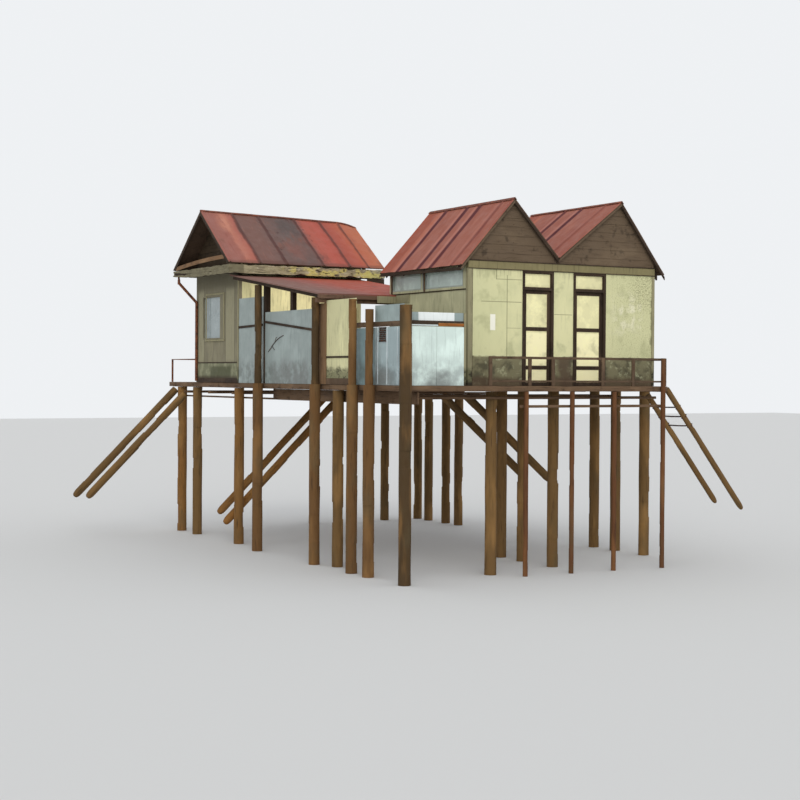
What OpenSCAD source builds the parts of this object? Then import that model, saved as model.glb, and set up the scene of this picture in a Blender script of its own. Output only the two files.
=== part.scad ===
// Stilt house: two rooms, a porch and a terrace on one timber deck, carried by piles.
// Millimetres. Origin at the foot of the corner pile, +X along the front, +Y to the back.

/* [Deck] */
// Height of the deck surface over the ground
deck_height = 5000; // [4000:50:6500]
// Length of the front edge, from the corner pile
front_length = 8400; // [8000:50:9600]
// Depth of the deck, from the corner pile to the back edge
deck_depth = 16500; // [15500:100:19000]
// Width of the walk on the right side
side_walk = 1450; // [900:50:2000]
// Distance from the front to the start of the side walk
side_walk_start = 2600; // [1500:50:4500]
// Thickness of the deck boards
board_thick = 40; // [30:5:60]
// Height of the rim boards
rim_height = 150; // [150:10:220]
// Thickness of the rim boards
rim_thick = 60; // [40:5:90]
// Height of the joists
joist_height = 60; // [50:5:90]
// Width of the joists
joist_width = 70; // [50:5:120]
// Number of joists
joist_count = 14; // [8:1:18]
// Height of the bearers on the piles
bearer_height = 60; // [50:5:120]
// Width of the bearers
bearer_width = 140; // [90:10:220]
// Distance from the deck surface to the underside of the ties
tie_drop = 360; // [300:10:420]
// Height of the ties
tie_height = 80; // [60:5:120]
// Width of the ties
tie_width = 90; // [60:5:140]
// Height of the edge beam on the left
edge_beam_height = 330; // [200:10:360]

/* [Piles] */
// Radius of a main pile
pile_radius = 165; // [120:5:190]
// Radius of the corner pile
corner_radius = 170; // [140:5:190]
// Radius of a tall post over the deck
post_radius = 115; // [90:5:120]
// Radius of a slim pole
slim_radius = 70; // [45:5:90]
// Height of the corner pile over the deck
corner_rise = 2020; // [1200:20:2600]
// Height of the first terrace post over the deck
second_post_rise = 1970; // [1200:20:2600]
// Height of the second terrace post over the deck
third_post_rise = 2270; // [1200:20:2600]
// Radius of a raking pole on the left and under the deck
raker_radius = 130; // [80:5:145]
// Radius of a pole of the boat ladder
ladder_radius = 85; // [50:5:100]
// Radius of a rung of the boat ladder
rung_radius = 24; // [18:2:40]
// Distance from the deck surface to the first rung
first_rung_drop = 580; // [400:20:800]
// Spacing of the rungs
rung_pitch = 260; // [200:10:320]

/* [Right room] */
// Distance from the corner pile to the left wall
corner_width = 2250; // [1900:50:2700]
// Distance from the front pile line to the front wall
front_setback = 700; // [600:20:1100]
// Width of the room outside
right_width = 6100; // [5800:50:6140]
// Depth of the room outside
right_depth = 4200; // [3800:50:4800]
// Height of the front wall
right_wall_height = 3070; // [2800:20:3300]
// Height of the band over the front wall
band_height = 200; // [120:10:220]
// Height of the first ridge over the wall
first_ridge_rise = 1880; // [1500:20:2200]
// Height of the second ridge over the wall
second_ridge_rise = 1980; // [1500:20:2200]
// Height of the valley over the wall
valley_rise = 370; // [330:10:600]
// Overhang of the roof past the side walls
side_overhang = 280; // [150:10:400]
// Overhang of the roof past the front and back
verge_overhang = 120; // [60:10:250]

/* [Left room] */
// Width of the room outside, along the front
left_width = 4250; // [3600:50:4800]
// Depth of the room outside
left_depth = 3440; // [3000:20:4000]
// Width of the walk behind the room
rear_walk = 2430; // [1500:10:3000]
// Height of the end wall
left_wall_height = 3430; // [3200:10:3600]
// Height of the ridge over the end wall
left_ridge_rise = 1990; // [1600:10:2300]
// Overhang of the roof at the front and back eaves
left_eave_reach = 600; // [400:20:800]
// Overhang of the roof past the end wall
left_verge_reach = 590; // [350:10:800]
// Overhang of the roof past the inner wall
inner_verge_reach = 550; // [120:10:700]
// Height of the eave beam
eave_beam_height = 275; // [200:5:320]
// Thickness of the eave beam
eave_beam_thick = 60; // [40:5:100]

/* [Walls and roofs] */
// Thickness of the walls
wall_thick = 100; // [80:5:130]
// Thickness of the roof sheets with their boards
sheet_thick = 40; // [25:5:60]
// Height of the seams on the roof sheets
seam_height = 25; // [15:5:45]
// Width of the seams on the roofs of the right room
seam_width = 120; // [60:10:160]
// Spacing of the seams on the roofs of the right room
seam_pitch = 660; // [500:20:900]
// Width of the seams on the roof of the left room
left_seam_width = 70; // [40:5:120]
// Spacing of the seams on the roof of the left room
left_seam_pitch = 1000; // [700:50:1250]
// Height of the rafters
rafter_height = 110; // [80:10:150]
// Width of the rafters
rafter_width = 70; // [50:5:110]
// Width of each side of a ridge cap
cap_width = 100; // [80:10:260]
// Thickness of a ridge cap
cap_thick = 12; // [8:1:25]
// Height of the verge boards
verge_board_height = 110; // [90:10:200]
// Thickness of the verge boards
verge_board_thick = 30; // [20:2:45]
// Thickness of the gable boards
gable_thick = 60; // [40:5:80]

/* [Openings] */
// Distance from the left wall to the first door frame
first_door_start = 1700; // [1300:20:1800]
// Width of the first door frame
first_door_width = 1000; // [900:10:1100]
// Distance from the left wall to the second door frame
second_door_start = 3350; // [3100:20:3500]
// Width of the second door frame
second_door_width = 1080; // [900:10:1150]
// Width of the frame posts
frame_width = 70; // [50:5:90]
// Height of the top light over each door
top_light_height = 380; // [250:10:480]
// Thickness of the door leaves
leaf_thick = 44; // [36:2:56]
// Width of the door stiles and rails
stile_width = 75; // [55:5:95]
// Height of the lower door rail over the floor
low_rail_height = 450; // [350:10:600]
// Height of the middle door rail over the floor
mid_rail_height = 1480; // [1200:20:1700]
// Thickness of the door panes
pane_thick = 10; // [6:1:16]
// Gap round a door leaf
door_gap = 8; // [6:1:12]
// Radius of the hinge barrels
hinge_radius = 7; // [5:1:9]
// Length of one half of a hinge barrel
hinge_half = 50; // [35:5:70]
// Bottom of the strip window over the deck
strip_sill = 2600; // [2300:20:2700]
// Height of the strip window
strip_height = 480; // [300:10:490]
// Bottom of the end window over the deck
end_sill = 1380; // [1000:20:1600]
// Height of the end window
end_window_height = 1370; // [1000:10:1500]
// Width of the end window
end_window_width = 1440; // [1000:20:1600]
// Distance from the front corner of the left room to the end window
end_window_start = 1460; // [900:20:1600]
// Width of the window frame bars
sash_width = 35; // [30:5:80]

/* [Porch and terrace] */
// Height of the porch roof at its eave, over the deck
porch_eave_height = 2500; // [2300:10:2600]
// Gap between the porch roof and the eave over it
porch_back_gap = 10; // [10:10:300]
// Overhang of the porch eave past the beam
porch_reach = 140; // [80:10:260]
// Distance from the front to the porch beam
porch_beam_start = 4640; // [4400:20:4700]
// Height of the porch beam
porch_beam_height = 120; // [90:10:160]
// Thickness of the screens
screen_thick = 18; // [12:1:30]
// Height of the front terrace screen
terrace_screen_height = 1510; // [1200:10:1700]
// Height of the porch side screen
porch_screen_height = 2110; // [1800:10:2200]
// Height of the rail on the screens
screen_rail_height = 100; // [60:5:140]
// Size of the screen rails
rail_size = 60; // [40:5:80]
// Height of the balcony rail over the deck
balcony_rail_height = 770; // [700:10:1100]
// Width of the balcony posts
balcony_post_width = 105; // [60:5:120]
// Depth of the balcony posts and rails
balcony_post = 50; // [40:5:55]
// Height of the balcony top rail
balcony_rail_thick = 70; // [50:5:75]
// Radius of the rain pipe
pipe_radius = 45; // [30:5:60]

/* [Hidden] */
$fn = 48;
overrun = 20;
seat_gap = 0.4;
edge_step = 0.1;
hinge_lap = 0.3;
floor_gap = 8;
plate_thick = 3;
plate_reach = 45;
left_pile_share = [0.2564, 0.6636, 0.8697, 0.9515];
terrace_post_share = [0.3966, 0.599];
porch_post_share = 0.7064;
middle_post_share = 0.403;
beam_post_reach = 360;
middle_pile_share = [0.097, 0.188, 0.2545];
right_pile_share = [0.0147, 0.117, 0.196, 0.7863, 0.8497, 0.9396, 0.997];
slim_pole_share = [0.444, 0.619, 0.7857];
bearer_share = [0.369, 0.6667, 0.982];
balcony_post_share = [0, 0.215, 0.345, 0.63, 0.81, 1];
rear_post_share = [0, 1/6, 1/3, 1/2, 2/3, 5/6, 1];
hinge_share = [0.1, 0.5, 0.86];
ridge_share = [0.2246, 0.459, 0.8];
strip_split_share = 0.56;
rafter_share = [0, 0.25, 0.5, 0.75, 1];
left_rafter_share = [0, 0.2, 0.4, 0.6, 0.8, 1];
porch_rafter_share = [0, 0.36, 0.49, 0.75, 1];

deck_under = deck_height - board_thick;
joist_under = deck_under - joist_height;
bearer_under = joist_under - bearer_height;
tie_under = deck_height - tie_drop;
tie_top = tie_under + tie_height;
rim_under = deck_height - rim_height;
edge = ceil(corner_radius / sqrt(2) / edge_step) * edge_step;
post_line = edge - pile_radius;
step = 150;
inner_edge = edge + rim_thick;
full_width = front_length + side_walk;
side_bearer = full_width - rim_thick - bearer_width - overrun;
left_bearer = edge + pile_radius;
front_pile_depth = front_setback + pile_radius;
back_pile_depth = deck_depth - 2 * pile_radius;

right_left = corner_width;
right_right = corner_width + right_width;
right_back = front_setback + right_depth;
wall_top = deck_height + right_wall_height;
band_top = wall_top + band_height;
first_ridge = right_left + ridge_share[0] * right_width;
valley = right_left + ridge_share[1] * right_width;
second_ridge = right_left + ridge_share[2] * right_width;
first_ridge_z = wall_top + first_ridge_rise;
valley_z = wall_top + valley_rise;
second_ridge_z = wall_top + second_ridge_rise;
left_eave = right_left - side_overhang;
left_eave_z = wall_top + rim_thick;
right_eave = right_right + side_overhang;
right_eave_z = wall_top + rim_thick - overrun;
verge_front = front_setback - verge_overhang;
verge_back = right_back + verge_overhang;

room_left = edge;
room_right = edge + left_width;
room_back = deck_depth - rear_walk;
room_front = room_back - left_depth;
room_middle = (room_front + room_back) / 2;
left_top = deck_height + left_wall_height;
left_ridge_z = left_top + left_ridge_rise;
left_run = left_depth / 2 + left_eave_reach;
left_eave_height = left_top + eave_beam_height - rafter_width + rim_thick / 2;
left_slope = (left_ridge_z - left_eave_height) / left_run;
eave_front = room_front - left_eave_reach;
eave_back = room_back + left_eave_reach;
verge_left = room_left - left_verge_reach;
verge_right = room_right + inner_verge_reach;
left_drop = sheet_thick * sqrt(1 + left_slope * left_slope);
left_seat = left_drop + seat_gap;
rafter_drop = rafter_height * sqrt(1 + left_slope * left_slope);
beam_top = left_eave_height - left_seat;
beam_under = beam_top - eave_beam_height;
soffit_top = beam_under + verge_board_thick;

porch_eave = porch_beam_start - porch_reach;
porch_run = room_front - porch_eave;
porch_eave_z = deck_height + porch_eave_height;
porch_rise = beam_under - porch_back_gap - porch_eave_z;
porch_slope = porch_rise / porch_run;
porch_left = post_line - step;
porch_right = room_right - wall_thick;

strip_bottom = deck_height + strip_sill;
strip_start = front_setback + wall_thick + step;
strip_end = right_back - wall_thick - rim_thick;
strip_split = strip_start + strip_split_share * (strip_end - strip_start);
screen_front = edge + rim_thick / 2;
screen_end = corner_width - 3 * step;
first_post = terrace_post_share[0] * porch_beam_start;
second_post = terrace_post_share[1] * porch_beam_start;
beam_post = porch_beam_start + beam_post_reach;
inner_post = porch_eave + porch_post_share * porch_run;
middle_post = porch_eave + middle_post_share * porch_run;
rail_top = deck_height + balcony_rail_height;
raker_slope_share = 1;
inner_slope_share = 0.98;
deep_slope_share = 0.85;
ladder_slope_share = 1.245;
raker_top = tie_under + overrun;
left_raker_drop = 250;
second_raker_drop = 420;
far_ladder_drop = 180;
left_raker_top = deck_height - left_raker_drop;
second_raker_top = deck_height - second_raker_drop;
ladder_top = deck_height - far_ladder_drop;
left_raker_reach = 3500;
second_raker_reach = 3320;
inner_raker_start = 3950;
inner_raker_reach = 3980;
deep_raker_start = 4500;
deep_raker_reach = 2950;
ladder_reach = 2850;
far_ladder_reach = 2600;
low_tie_drop = 580;
edge_beam_in = left_bearer + pile_radius;
edge_beam_out = edge_beam_in + rim_thick;
edge_beam_under = bearer_under - edge_beam_height;
slim_rail_height = 60;
hinge_play = 1;
rung_count = 3;
arch_steps = 10;
post_size = 130;
arch_low_rise = 131;
arch_high_rise = 306;
arch_back_inset = 220;
arch_front_inset = 470;
arch_depth = 125;
left_screen_rise = 480;
screen_rail_drop = 340;
bay_panel_rise = 200;
porch_fascia_height = 100;
rafter_reach_share = 0.95;
terrace_rail_height = 140;
light_height = 220;
side_light_height = 430;
rail_fall = 360;
tie_lines = [
  front_pile_depth - pile_radius - tie_width,
  front_pile_depth + pile_radius,
  middle_pile_share[2] * deck_depth + pile_radius,
  right_pile_y(2) + pile_radius,
  left_pile_share[1] * deck_depth + pile_radius,
  right_pile_y(3) - pile_radius - tie_width,
  right_pile_y(5) - pile_radius - tie_width,
  left_pile_share[3] * deck_depth + pile_radius
];
porch_drop = sheet_thick * sqrt(1 + porch_slope * porch_slope);
porch_rafter_drop = rafter_height * sqrt(1 + porch_slope * porch_slope);
porch_beam_under = porch_roof_z(porch_beam_start) - porch_drop - porch_rafter_drop
  - porch_beam_height;
first_frame = right_left + first_door_start;
second_frame = right_left + second_door_start;
first_frame_end = first_frame + first_door_width;
second_frame_end = second_frame + second_door_width;
wall_back = front_setback + wall_thick;
first_run = first_ridge - left_eave;
first_rise = first_ridge_z - left_eave_z;
inner_run = valley - first_ridge;
inner_rise = first_ridge_z - valley_z;
second_run = second_ridge - valley;
second_rise = second_ridge_z - valley_z;
last_run = right_eave - second_ridge;
last_rise = second_ridge_z - right_eave_z;

gable_line = [
  [right_right, right_under(right_right, last_run, last_rise)],
  [second_ridge, right_under(second_ridge, last_run, last_rise)],
  [valley, right_under(valley, inner_run, inner_rise)],
  [first_ridge, right_under(first_ridge, first_run, first_rise)],
  [right_left, right_under(right_left, first_run, first_rise)]
];
rafter_first = wall_back + overrun;
rafter_last = right_back - wall_thick - rafter_width - overrun;
left_rafter_first = room_left + wall_thick + overrun;
left_rafter_last = room_right - wall_thick - rafter_width - overrun;
light_under = wall_top - frame_width - top_light_height;
head_under = light_under - frame_width;
leaf_bottom = deck_height + floor_gap;
leaf_top = head_under - door_gap;
pane_levels = [
  [leaf_bottom + stile_width, deck_height + low_rail_height],
  [deck_height + low_rail_height + stile_width, deck_height + mid_rail_height],
  [deck_height + mid_rail_height + stile_width, leaf_top - stile_width]
];

wood_dark = [0.30, 0.22, 0.15];
wood_pile = [0.42, 0.29, 0.18];
wood_tall = [0.38, 0.27, 0.18];
roof_red = [0.62, 0.30, 0.26];
wall_cream = [0.80, 0.79, 0.62];
wall_olive = [0.58, 0.56, 0.42];
wall_tan = [0.50, 0.46, 0.38];
sheet_blue = [0.62, 0.68, 0.68];
panel_pale = [0.80, 0.87, 0.85];
gable_brown = [0.40, 0.32, 0.26];
pane_cream = [0.88, 0.86, 0.68];
glass_blue = [0.62, 0.70, 0.72];

function right_roof_z(x) =
  x < first_ridge ? left_eave_z
    + (x - left_eave) * (first_ridge_z - left_eave_z) / (first_ridge - left_eave)
  : x < valley ? first_ridge_z
    + (x - first_ridge) * (valley_z - first_ridge_z) / (valley - first_ridge)
  : x < second_ridge ? valley_z
    + (x - valley) * (second_ridge_z - valley_z) / (second_ridge - valley)
  : second_ridge_z
    + (x - second_ridge) * (right_eave_z - second_ridge_z) / (right_eave - second_ridge);

function drop(thick, run, rise) = thick * sqrt(run * run + rise * rise) / abs(run);

function left_roof_z(y) = left_ridge_z - left_slope * abs(y - room_middle);

function porch_roof_z(y) = porch_eave_z + porch_slope * (y - porch_eave);

function right_pile_y(i) = side_walk_start
  + right_pile_share[i] * (back_pile_depth - side_walk_start);

function outline(inset) = [
  [edge + inset, edge + inset],
  [front_length - inset, edge + inset],
  [front_length - inset, side_walk_start + inset],
  [full_width - inset, side_walk_start + inset],
  [full_width - inset, deck_depth - inset],
  [edge + inset, deck_depth - inset]
];

module box(low, high) {
  translate(low)
    cube(high - low);
}

module along_y(start, end) {
  translate([0, end, 0])
    rotate([90, 0, 0])
      linear_extrude(height = end - start)
        children();
}

module along_x(start, end) {
  translate([start, 0, 0])
    rotate([90, 0, 90])
      linear_extrude(height = end - start)
        children();
}

module upright(x, y, top, radius) {
  translate([x, y, 0])
    cylinder(h = top, r = radius);
}

module pole(from, to, radius) {
  span = to - from;
  reach = norm(span);
  translate(from)
    rotate([0, acos(span[2] / reach), atan2(span[1], span[0])])
      cylinder(h = reach, r = radius);
}

// Piles
module corner_pile() {
  color(wood_tall)
    upright(0, 0, deck_height + corner_rise, corner_radius);
}

module left_piles() {
  color(wood_pile)
    for (share = left_pile_share)
      upright(left_bearer, share * deck_depth, bearer_under, pile_radius);
}

module tall_post(y, top) {
  union() {
    upright(post_line, y, deck_height, pile_radius);
    upright(post_line, y, top, post_radius);
  }
}

module tall_posts() {
  color(wood_tall) {
    tall_post(first_post, deck_height + second_post_rise);
    tall_post(second_post, deck_height + third_post_rise);
    for (y = [beam_post, inner_post])
      tall_post(y, porch_rafter_under(y - post_radius));
  }
}

module middle_piles() {
  color(wood_pile) {
    upright(bearer_share[0] * front_length, front_pile_depth, bearer_under, pile_radius);
    for (share = middle_pile_share)
      upright(bearer_share[1] * front_length, share * deck_depth, bearer_under, pile_radius);
    upright(bearer_share[1] * front_length - pile_radius, back_pile_depth, bearer_under,
      pile_radius);
  }
}

module right_piles() {
  color(wood_pile) {
    for (i = [0 : len(right_pile_share) - 1])
      upright(side_bearer + bearer_width / 2, right_pile_y(i), bearer_under, pile_radius);
    upright(bearer_share[2] * front_length + pile_radius / 2, back_pile_depth, bearer_under,
      pile_radius);
  }
}

module slim_poles() {
  color(wood_pile) {
    for (share = slim_pole_share)
      upright(share * front_length, edge + rim_thick / 2, rim_under, slim_radius);
    upright(front_length - step - slim_radius, edge - slim_radius, rail_top, slim_radius);
  }
}

// Deck
module deck_bearers() {
  color(wood_dark) {
    box([left_bearer - bearer_width / 2, inner_edge, bearer_under],
      [left_bearer + bearer_width / 2, deck_depth - rim_thick, joist_under]);
    for (share = bearer_share)
      box([share * front_length - bearer_width / 2, inner_edge, bearer_under],
        [share * front_length + bearer_width / 2, deck_depth - rim_thick, joist_under]);
    box([side_bearer, side_walk_start + rim_thick, bearer_under],
      [side_bearer + bearer_width, deck_depth - rim_thick, joist_under]);
  }
}

module cross_ties() {
  low = edge + rim_thick / 2 + slim_radius;
  color(wood_dark) {
    for (y = tie_lines) {
      reach_left = y < inner_post ? edge_beam_out : edge;
      reach_right = y < side_walk_start ? front_length : full_width - rim_thick;
      box([reach_left, y, tie_under], [reach_right, y + tie_width, tie_top]);
    }
    box([slim_pole_share[0] * front_length - step, low, deck_height - low_tie_drop],
      [front_length - step, low + rim_thick, deck_height - low_tie_drop + tie_height]);
    box([edge_beam_in, inner_edge, edge_beam_under],
      [edge_beam_out, inner_post, bearer_under]);
    box([edge_beam_in, inner_post, edge_beam_under],
      [edge_beam_out, deck_depth - rim_thick, edge_beam_under + slim_rail_height]);
  }
}

module deck_joists() {
  pitch = (deck_depth - inner_edge - 2 * rim_thick - joist_width) / (joist_count - 1);
  color(wood_dark)
    for (i = [0 : joist_count - 1]) {
      y = inner_edge + rim_thick / 2 + i * pitch;
      end = y > side_walk_start + rim_thick ? full_width : front_length;
      box([inner_edge, y, joist_under], [end - rim_thick, y + joist_width, deck_under]);
    }
}

module deck_floor() {
  color(wood_dark)
    translate([0, 0, deck_under])
      linear_extrude(height = board_thick)
        polygon(outline(rim_thick));
}

module rim_boards() {
  color(wood_dark) {
    box([edge, edge, rim_under], [front_length, inner_edge, deck_height]);
    box([front_length, side_walk_start, rim_under],
      [full_width, side_walk_start + rim_thick, deck_height]);
    box([edge, deck_depth - rim_thick, rim_under], [full_width, deck_depth, deck_height]);
  }
}

module side_rims() {
  back = deck_depth - rim_thick;
  color(wood_dark) {
    box([edge, inner_edge, rim_under], [inner_edge, back, deck_height]);
    box([front_length - rim_thick, inner_edge, rim_under],
      [front_length, side_walk_start + rim_thick, deck_height]);
    box([full_width - rim_thick, side_walk_start + rim_thick, rim_under],
      [full_width, back, deck_height]);
  }
}

// Raking poles
module butted(x, side) {
  reach = front_length;
  intersection() {
    children();
    box([side > 0 ? x + seat_gap : x - reach, -reach, 0],
      [side > 0 ? x + reach : x - seat_gap, deck_depth + reach, deck_height + reach]);
  }
}

module leaning(x, y, top, reach, slope, side, radius) {
  back = 2 * radius;
  butted(x, side)
    pole([x - side * back, y, top + slope * back],
      [x + side * reach, y, top - slope * reach], radius);
}

module raker(x, line, reach, slope) {
  y = tie_lines[line] + tie_width + raker_radius;
  pole([x, y, raker_top], [x + reach, y, raker_top - slope * abs(reach)], raker_radius);
}

module left_rakers() {
  color(wood_pile) {
    leaning(edge, tie_lines[7] + tie_width / 2, left_raker_top, left_raker_reach,
      raker_slope_share, -1, raker_radius);
    leaning(edge, tie_lines[6] + tie_width / 2, second_raker_top, second_raker_reach,
      raker_slope_share, -1, raker_radius);
  }
}

module inner_rakers() {
  color(wood_pile) {
    raker(inner_raker_start + 4 * step, 5, -inner_raker_reach, inner_slope_share);
    raker(inner_raker_start + step, 4, -inner_raker_reach - step, inner_slope_share);
    raker(deep_raker_start, 3, deep_raker_reach, deep_slope_share);
    raker(deep_raker_start + step, 2, deep_raker_reach, deep_slope_share);
  }
}

module boat_ladder() {
  near = inner_edge + rim_thick;
  far = tie_lines[1] + tie_width / 2;
  color(wood_pile) {
    leaning(front_length, near, deck_height, ladder_reach, ladder_slope_share, 1,
      ladder_radius);
    leaning(front_length, far, ladder_top, far_ladder_reach, ladder_slope_share, 1,
      ladder_radius);
    for (i = [0 : rung_count - 1]) {
      drop = first_rung_drop + i * rung_pitch;
      pole([front_length + drop / ladder_slope_share, near, deck_height - drop],
        [front_length + (drop - deck_height + ladder_top) / ladder_slope_share, far,
          deck_height - drop], rung_radius);
    }
  }
}

// Left room
module end_wall() {
  sill = deck_height + end_sill;
  start = room_front + end_window_start;
  color(wall_tan)
    difference() {
      box([room_left, room_front, deck_height], [room_left + wall_thick, room_back, left_top]);
      box([room_left - overrun, start, sill], [room_left + wall_thick + overrun,
        start + end_window_width, sill + end_window_height]);
    }
}

module left_long_wall(outer, inner) {
  low = min(outer, inner);
  high = max(outer, inner);
  along_x(room_left + wall_thick, room_right)
    polygon([
      [low, deck_height],
      [high, deck_height],
      [high, left_roof_z(high) - left_seat - rafter_drop],
      [low, left_roof_z(low) - left_seat - rafter_drop]
    ]);
}

module left_front_wall() {
  color(wall_cream)
    left_long_wall(room_front, room_front + wall_thick);
}

module left_rear_wall() {
  color(wall_tan)
    left_long_wall(room_back, room_back - wall_thick);
}

module left_inner_wall() {
  low = room_front + wall_thick;
  high = room_back - wall_thick;
  color(wall_tan)
    along_x(room_right - wall_thick, room_right)
      polygon([
        [low, deck_height],
        [high, deck_height],
        [high, left_roof_z(high) - left_seat],
        [room_middle, left_ridge_z - left_seat],
        [low, left_roof_z(low) - left_seat]
      ]);
}

module window_frame(start, end, low, high, x, depth) {
  difference() {
    box([x, start, low], [x + depth, end, high]);
    box([x - overrun, start + sash_width, low + sash_width],
      [x + depth + overrun, end - sash_width, high - sash_width]);
  }
}

module end_window_frame() {
  start = room_front + end_window_start;
  sill = deck_height + end_sill;
  color(wood_dark)
    window_frame(start, start + end_window_width, sill, sill + end_window_height,
      room_left, wall_thick);
}

module end_window_pane() {
  start = room_front + end_window_start + sash_width;
  sill = deck_height + end_sill + sash_width;
  color(glass_blue)
    box([room_left + rim_thick, start, sill], [room_left + rim_thick + pane_thick,
      start + end_window_width - 2 * sash_width, sill + end_window_height - 2 * sash_width]);
}

module left_gable() {
  low = room_front + wall_thick;
  high = room_back - wall_thick;
  color(gable_brown) {
    along_x(room_left + overrun, room_left + overrun + gable_thick)
      polygon([
        [low, left_top],
        [high, left_top],
        [high, left_roof_z(high) - left_seat],
        [room_middle, left_ridge_z - left_seat],
        [low, left_roof_z(low) - left_seat]
      ]);
    gable_arch();
  }
}

function arch_z(share) = beam_top + arch_low_rise
  + (arch_high_rise - arch_low_rise) * (1 - (1 - share) * (1 - share));

module gable_arch() {
  start = eave_back - arch_back_inset;
  run = eave_front + arch_front_inset - start;
  count = arch_steps;
  along_x(verge_left + verge_board_thick, verge_left + eave_beam_thick)
    polygon(concat(
      [for (i = [0 : count]) [start + run * i / count, arch_z(i / count)]],
      [for (i = [count : -1 : 0]) [start + run * i / count, arch_z(i / count) - arch_depth]]
    ));
}

module left_slab(eave, start, end, raise) {
  along_x(start, end)
    polygon([
      [eave, left_eave_height + raise],
      [room_middle, left_ridge_z + raise],
      [room_middle, left_ridge_z - left_drop],
      [eave, left_eave_height - left_drop]
    ]);
}

module left_roof(eave) {
  count = floor((verge_right - verge_left - left_seam_width) / left_seam_pitch);
  color(roof_red)
    union() {
      left_slab(eave, verge_left, verge_right, 0);
      for (i = [0 : count])
        left_slab(eave, verge_left + i * left_seam_pitch,
          verge_left + i * left_seam_pitch + left_seam_width, seam_height);
    }
}

module left_roof_front() {
  left_roof(eave_front);
}

module left_roof_rear() {
  left_roof(eave_back);
}

module eave_beam() {
  inner_front = eave_front + eave_beam_thick;
  inner_back = eave_back - eave_beam_thick;
  color(wall_olive) {
    union() {
      box([verge_left, eave_front, beam_under], [verge_right, inner_front, beam_top]);
      box([verge_left, inner_back, beam_under], [verge_right, eave_back, beam_top]);
      box([verge_left, eave_front, beam_under],
        [verge_left + eave_beam_thick, eave_back, beam_top]);
      box([verge_left, eave_front, beam_under], [verge_right, room_front, soffit_top]);
      box([verge_left, room_back, beam_under], [verge_right, eave_back, soffit_top]);
      box([verge_left, eave_front, beam_under], [room_left, eave_back, soffit_top]);
    }
  }
}

module rain_pipe() {
  x = room_left - pipe_radius;
  y = room_back - pipe_radius - rim_thick;
  top_x = verge_left + 2 * pipe_radius;
  top_y = room_back + 2 * step;
  turn = beam_under - 5 * step;
  color(wall_tan)
    union() {
      pole([top_x, top_y, beam_under], [top_x, top_y, beam_under - step], pipe_radius);
      pole([top_x, top_y, beam_under - step + pipe_radius], [x, y, turn], pipe_radius);
      pole([x, y, turn + pipe_radius / 2], [x, y, deck_height + pipe_radius], pipe_radius);
    }
}

module rear_railing() {
  start = inner_edge;
  end = full_width - rim_thick - balcony_post;
  back = deck_depth - rim_thick - balcony_post;
  color(wood_tall)
    union() {
      for (share = rear_post_share)
        box([start + share * (end - start), back, deck_height],
          [start + share * (end - start) + balcony_post, back + balcony_post, rail_top]);
      box([start, back, rail_top - balcony_post / 2],
        [end + balcony_post, back + balcony_post, rail_top]);
      box([start, room_back, rail_top - balcony_post / 2],
        [start + balcony_post, back + balcony_post, rail_top]);
    }
}

// Porch
function porch_rafter_under(y) = porch_roof_z(y) - porch_drop - porch_rafter_drop;

module porch_post(y, wide, inset) {
  x = edge + inset;
  box([x, y, deck_height], [x + wide, y + wide, porch_roof_z(y) - porch_drop - seat_gap]);
}

module porch_slab(start, end, eave) {
  along_x(start, end)
    polygon([
      [eave, porch_roof_z(eave)],
      [room_front, porch_roof_z(room_front)],
      [room_front, porch_roof_z(room_front) - porch_drop],
      [eave, porch_roof_z(eave) - porch_drop]
    ]);
}

module porch_roof() {
  color(roof_red)
    union() {
      porch_slab(porch_left, right_left, porch_eave);
      porch_slab(right_left, porch_right, right_back);
    }
}

module porch_frame() {
  first = post_line - rafter_width / 2;
  last = porch_right - rafter_width;
  fascia_top = porch_eave_z - porch_drop - seat_gap;
  color(wood_dark) {
    union() {
      box([porch_left, porch_beam_start, porch_beam_under],
        [right_left, porch_beam_start + rafter_width, porch_beam_under + porch_beam_height]);
      box([porch_left, porch_eave, fascia_top - porch_fascia_height],
        [right_left, porch_eave + overrun, fascia_top]);
      for (share = porch_rafter_share) {
        x = first + share * (last - first);
        eave = x + rafter_width > right_left ? right_back : porch_eave + overrun;
        along_x(x, x + rafter_width)
          polygon([
            [eave, porch_rafter_under(eave)],
            [room_front, porch_rafter_under(room_front)],
            [room_front, porch_roof_z(room_front) - porch_drop - seat_gap],
            [eave, porch_roof_z(eave) - porch_drop - seat_gap]
          ]);
      }
    }
    box([last, right_back + rim_thick, deck_height],
      [last + rafter_width, right_back + rim_thick + rafter_width,
        porch_rafter_under(right_back + rim_thick)]);
    box([edge, porch_beam_start, deck_height],
      [edge + post_size, porch_beam_start + post_size, porch_beam_under]);
    porch_post(inner_post - post_size / 2, post_size, screen_thick + rail_size);
    porch_post(middle_post, post_size, screen_thick + rail_size);
  }
}

module porch_screens() {
  near = porch_beam_start + post_size;
  top = deck_height + porch_screen_height;
  color(sheet_blue) {
    box([edge, near, deck_height], [edge + screen_thick, inner_post - step, top]);
    box([edge, inner_post, deck_height], [edge + screen_thick, room_front,
      top + left_screen_rise]);
  }
}

module bay_panel() {
  color(wall_cream)
    box([edge, second_post + post_radius, deck_height], [edge + screen_thick, porch_beam_start,
      deck_height + porch_screen_height + bay_panel_rise]);
}

module screen_rail(start, end, start_z, end_z, high) {
  along_x(edge + screen_thick, edge + screen_thick + rail_size)
    polygon([[start, start_z], [end, end_z], [end, end_z + high], [start, start_z + high]]);
}

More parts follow.
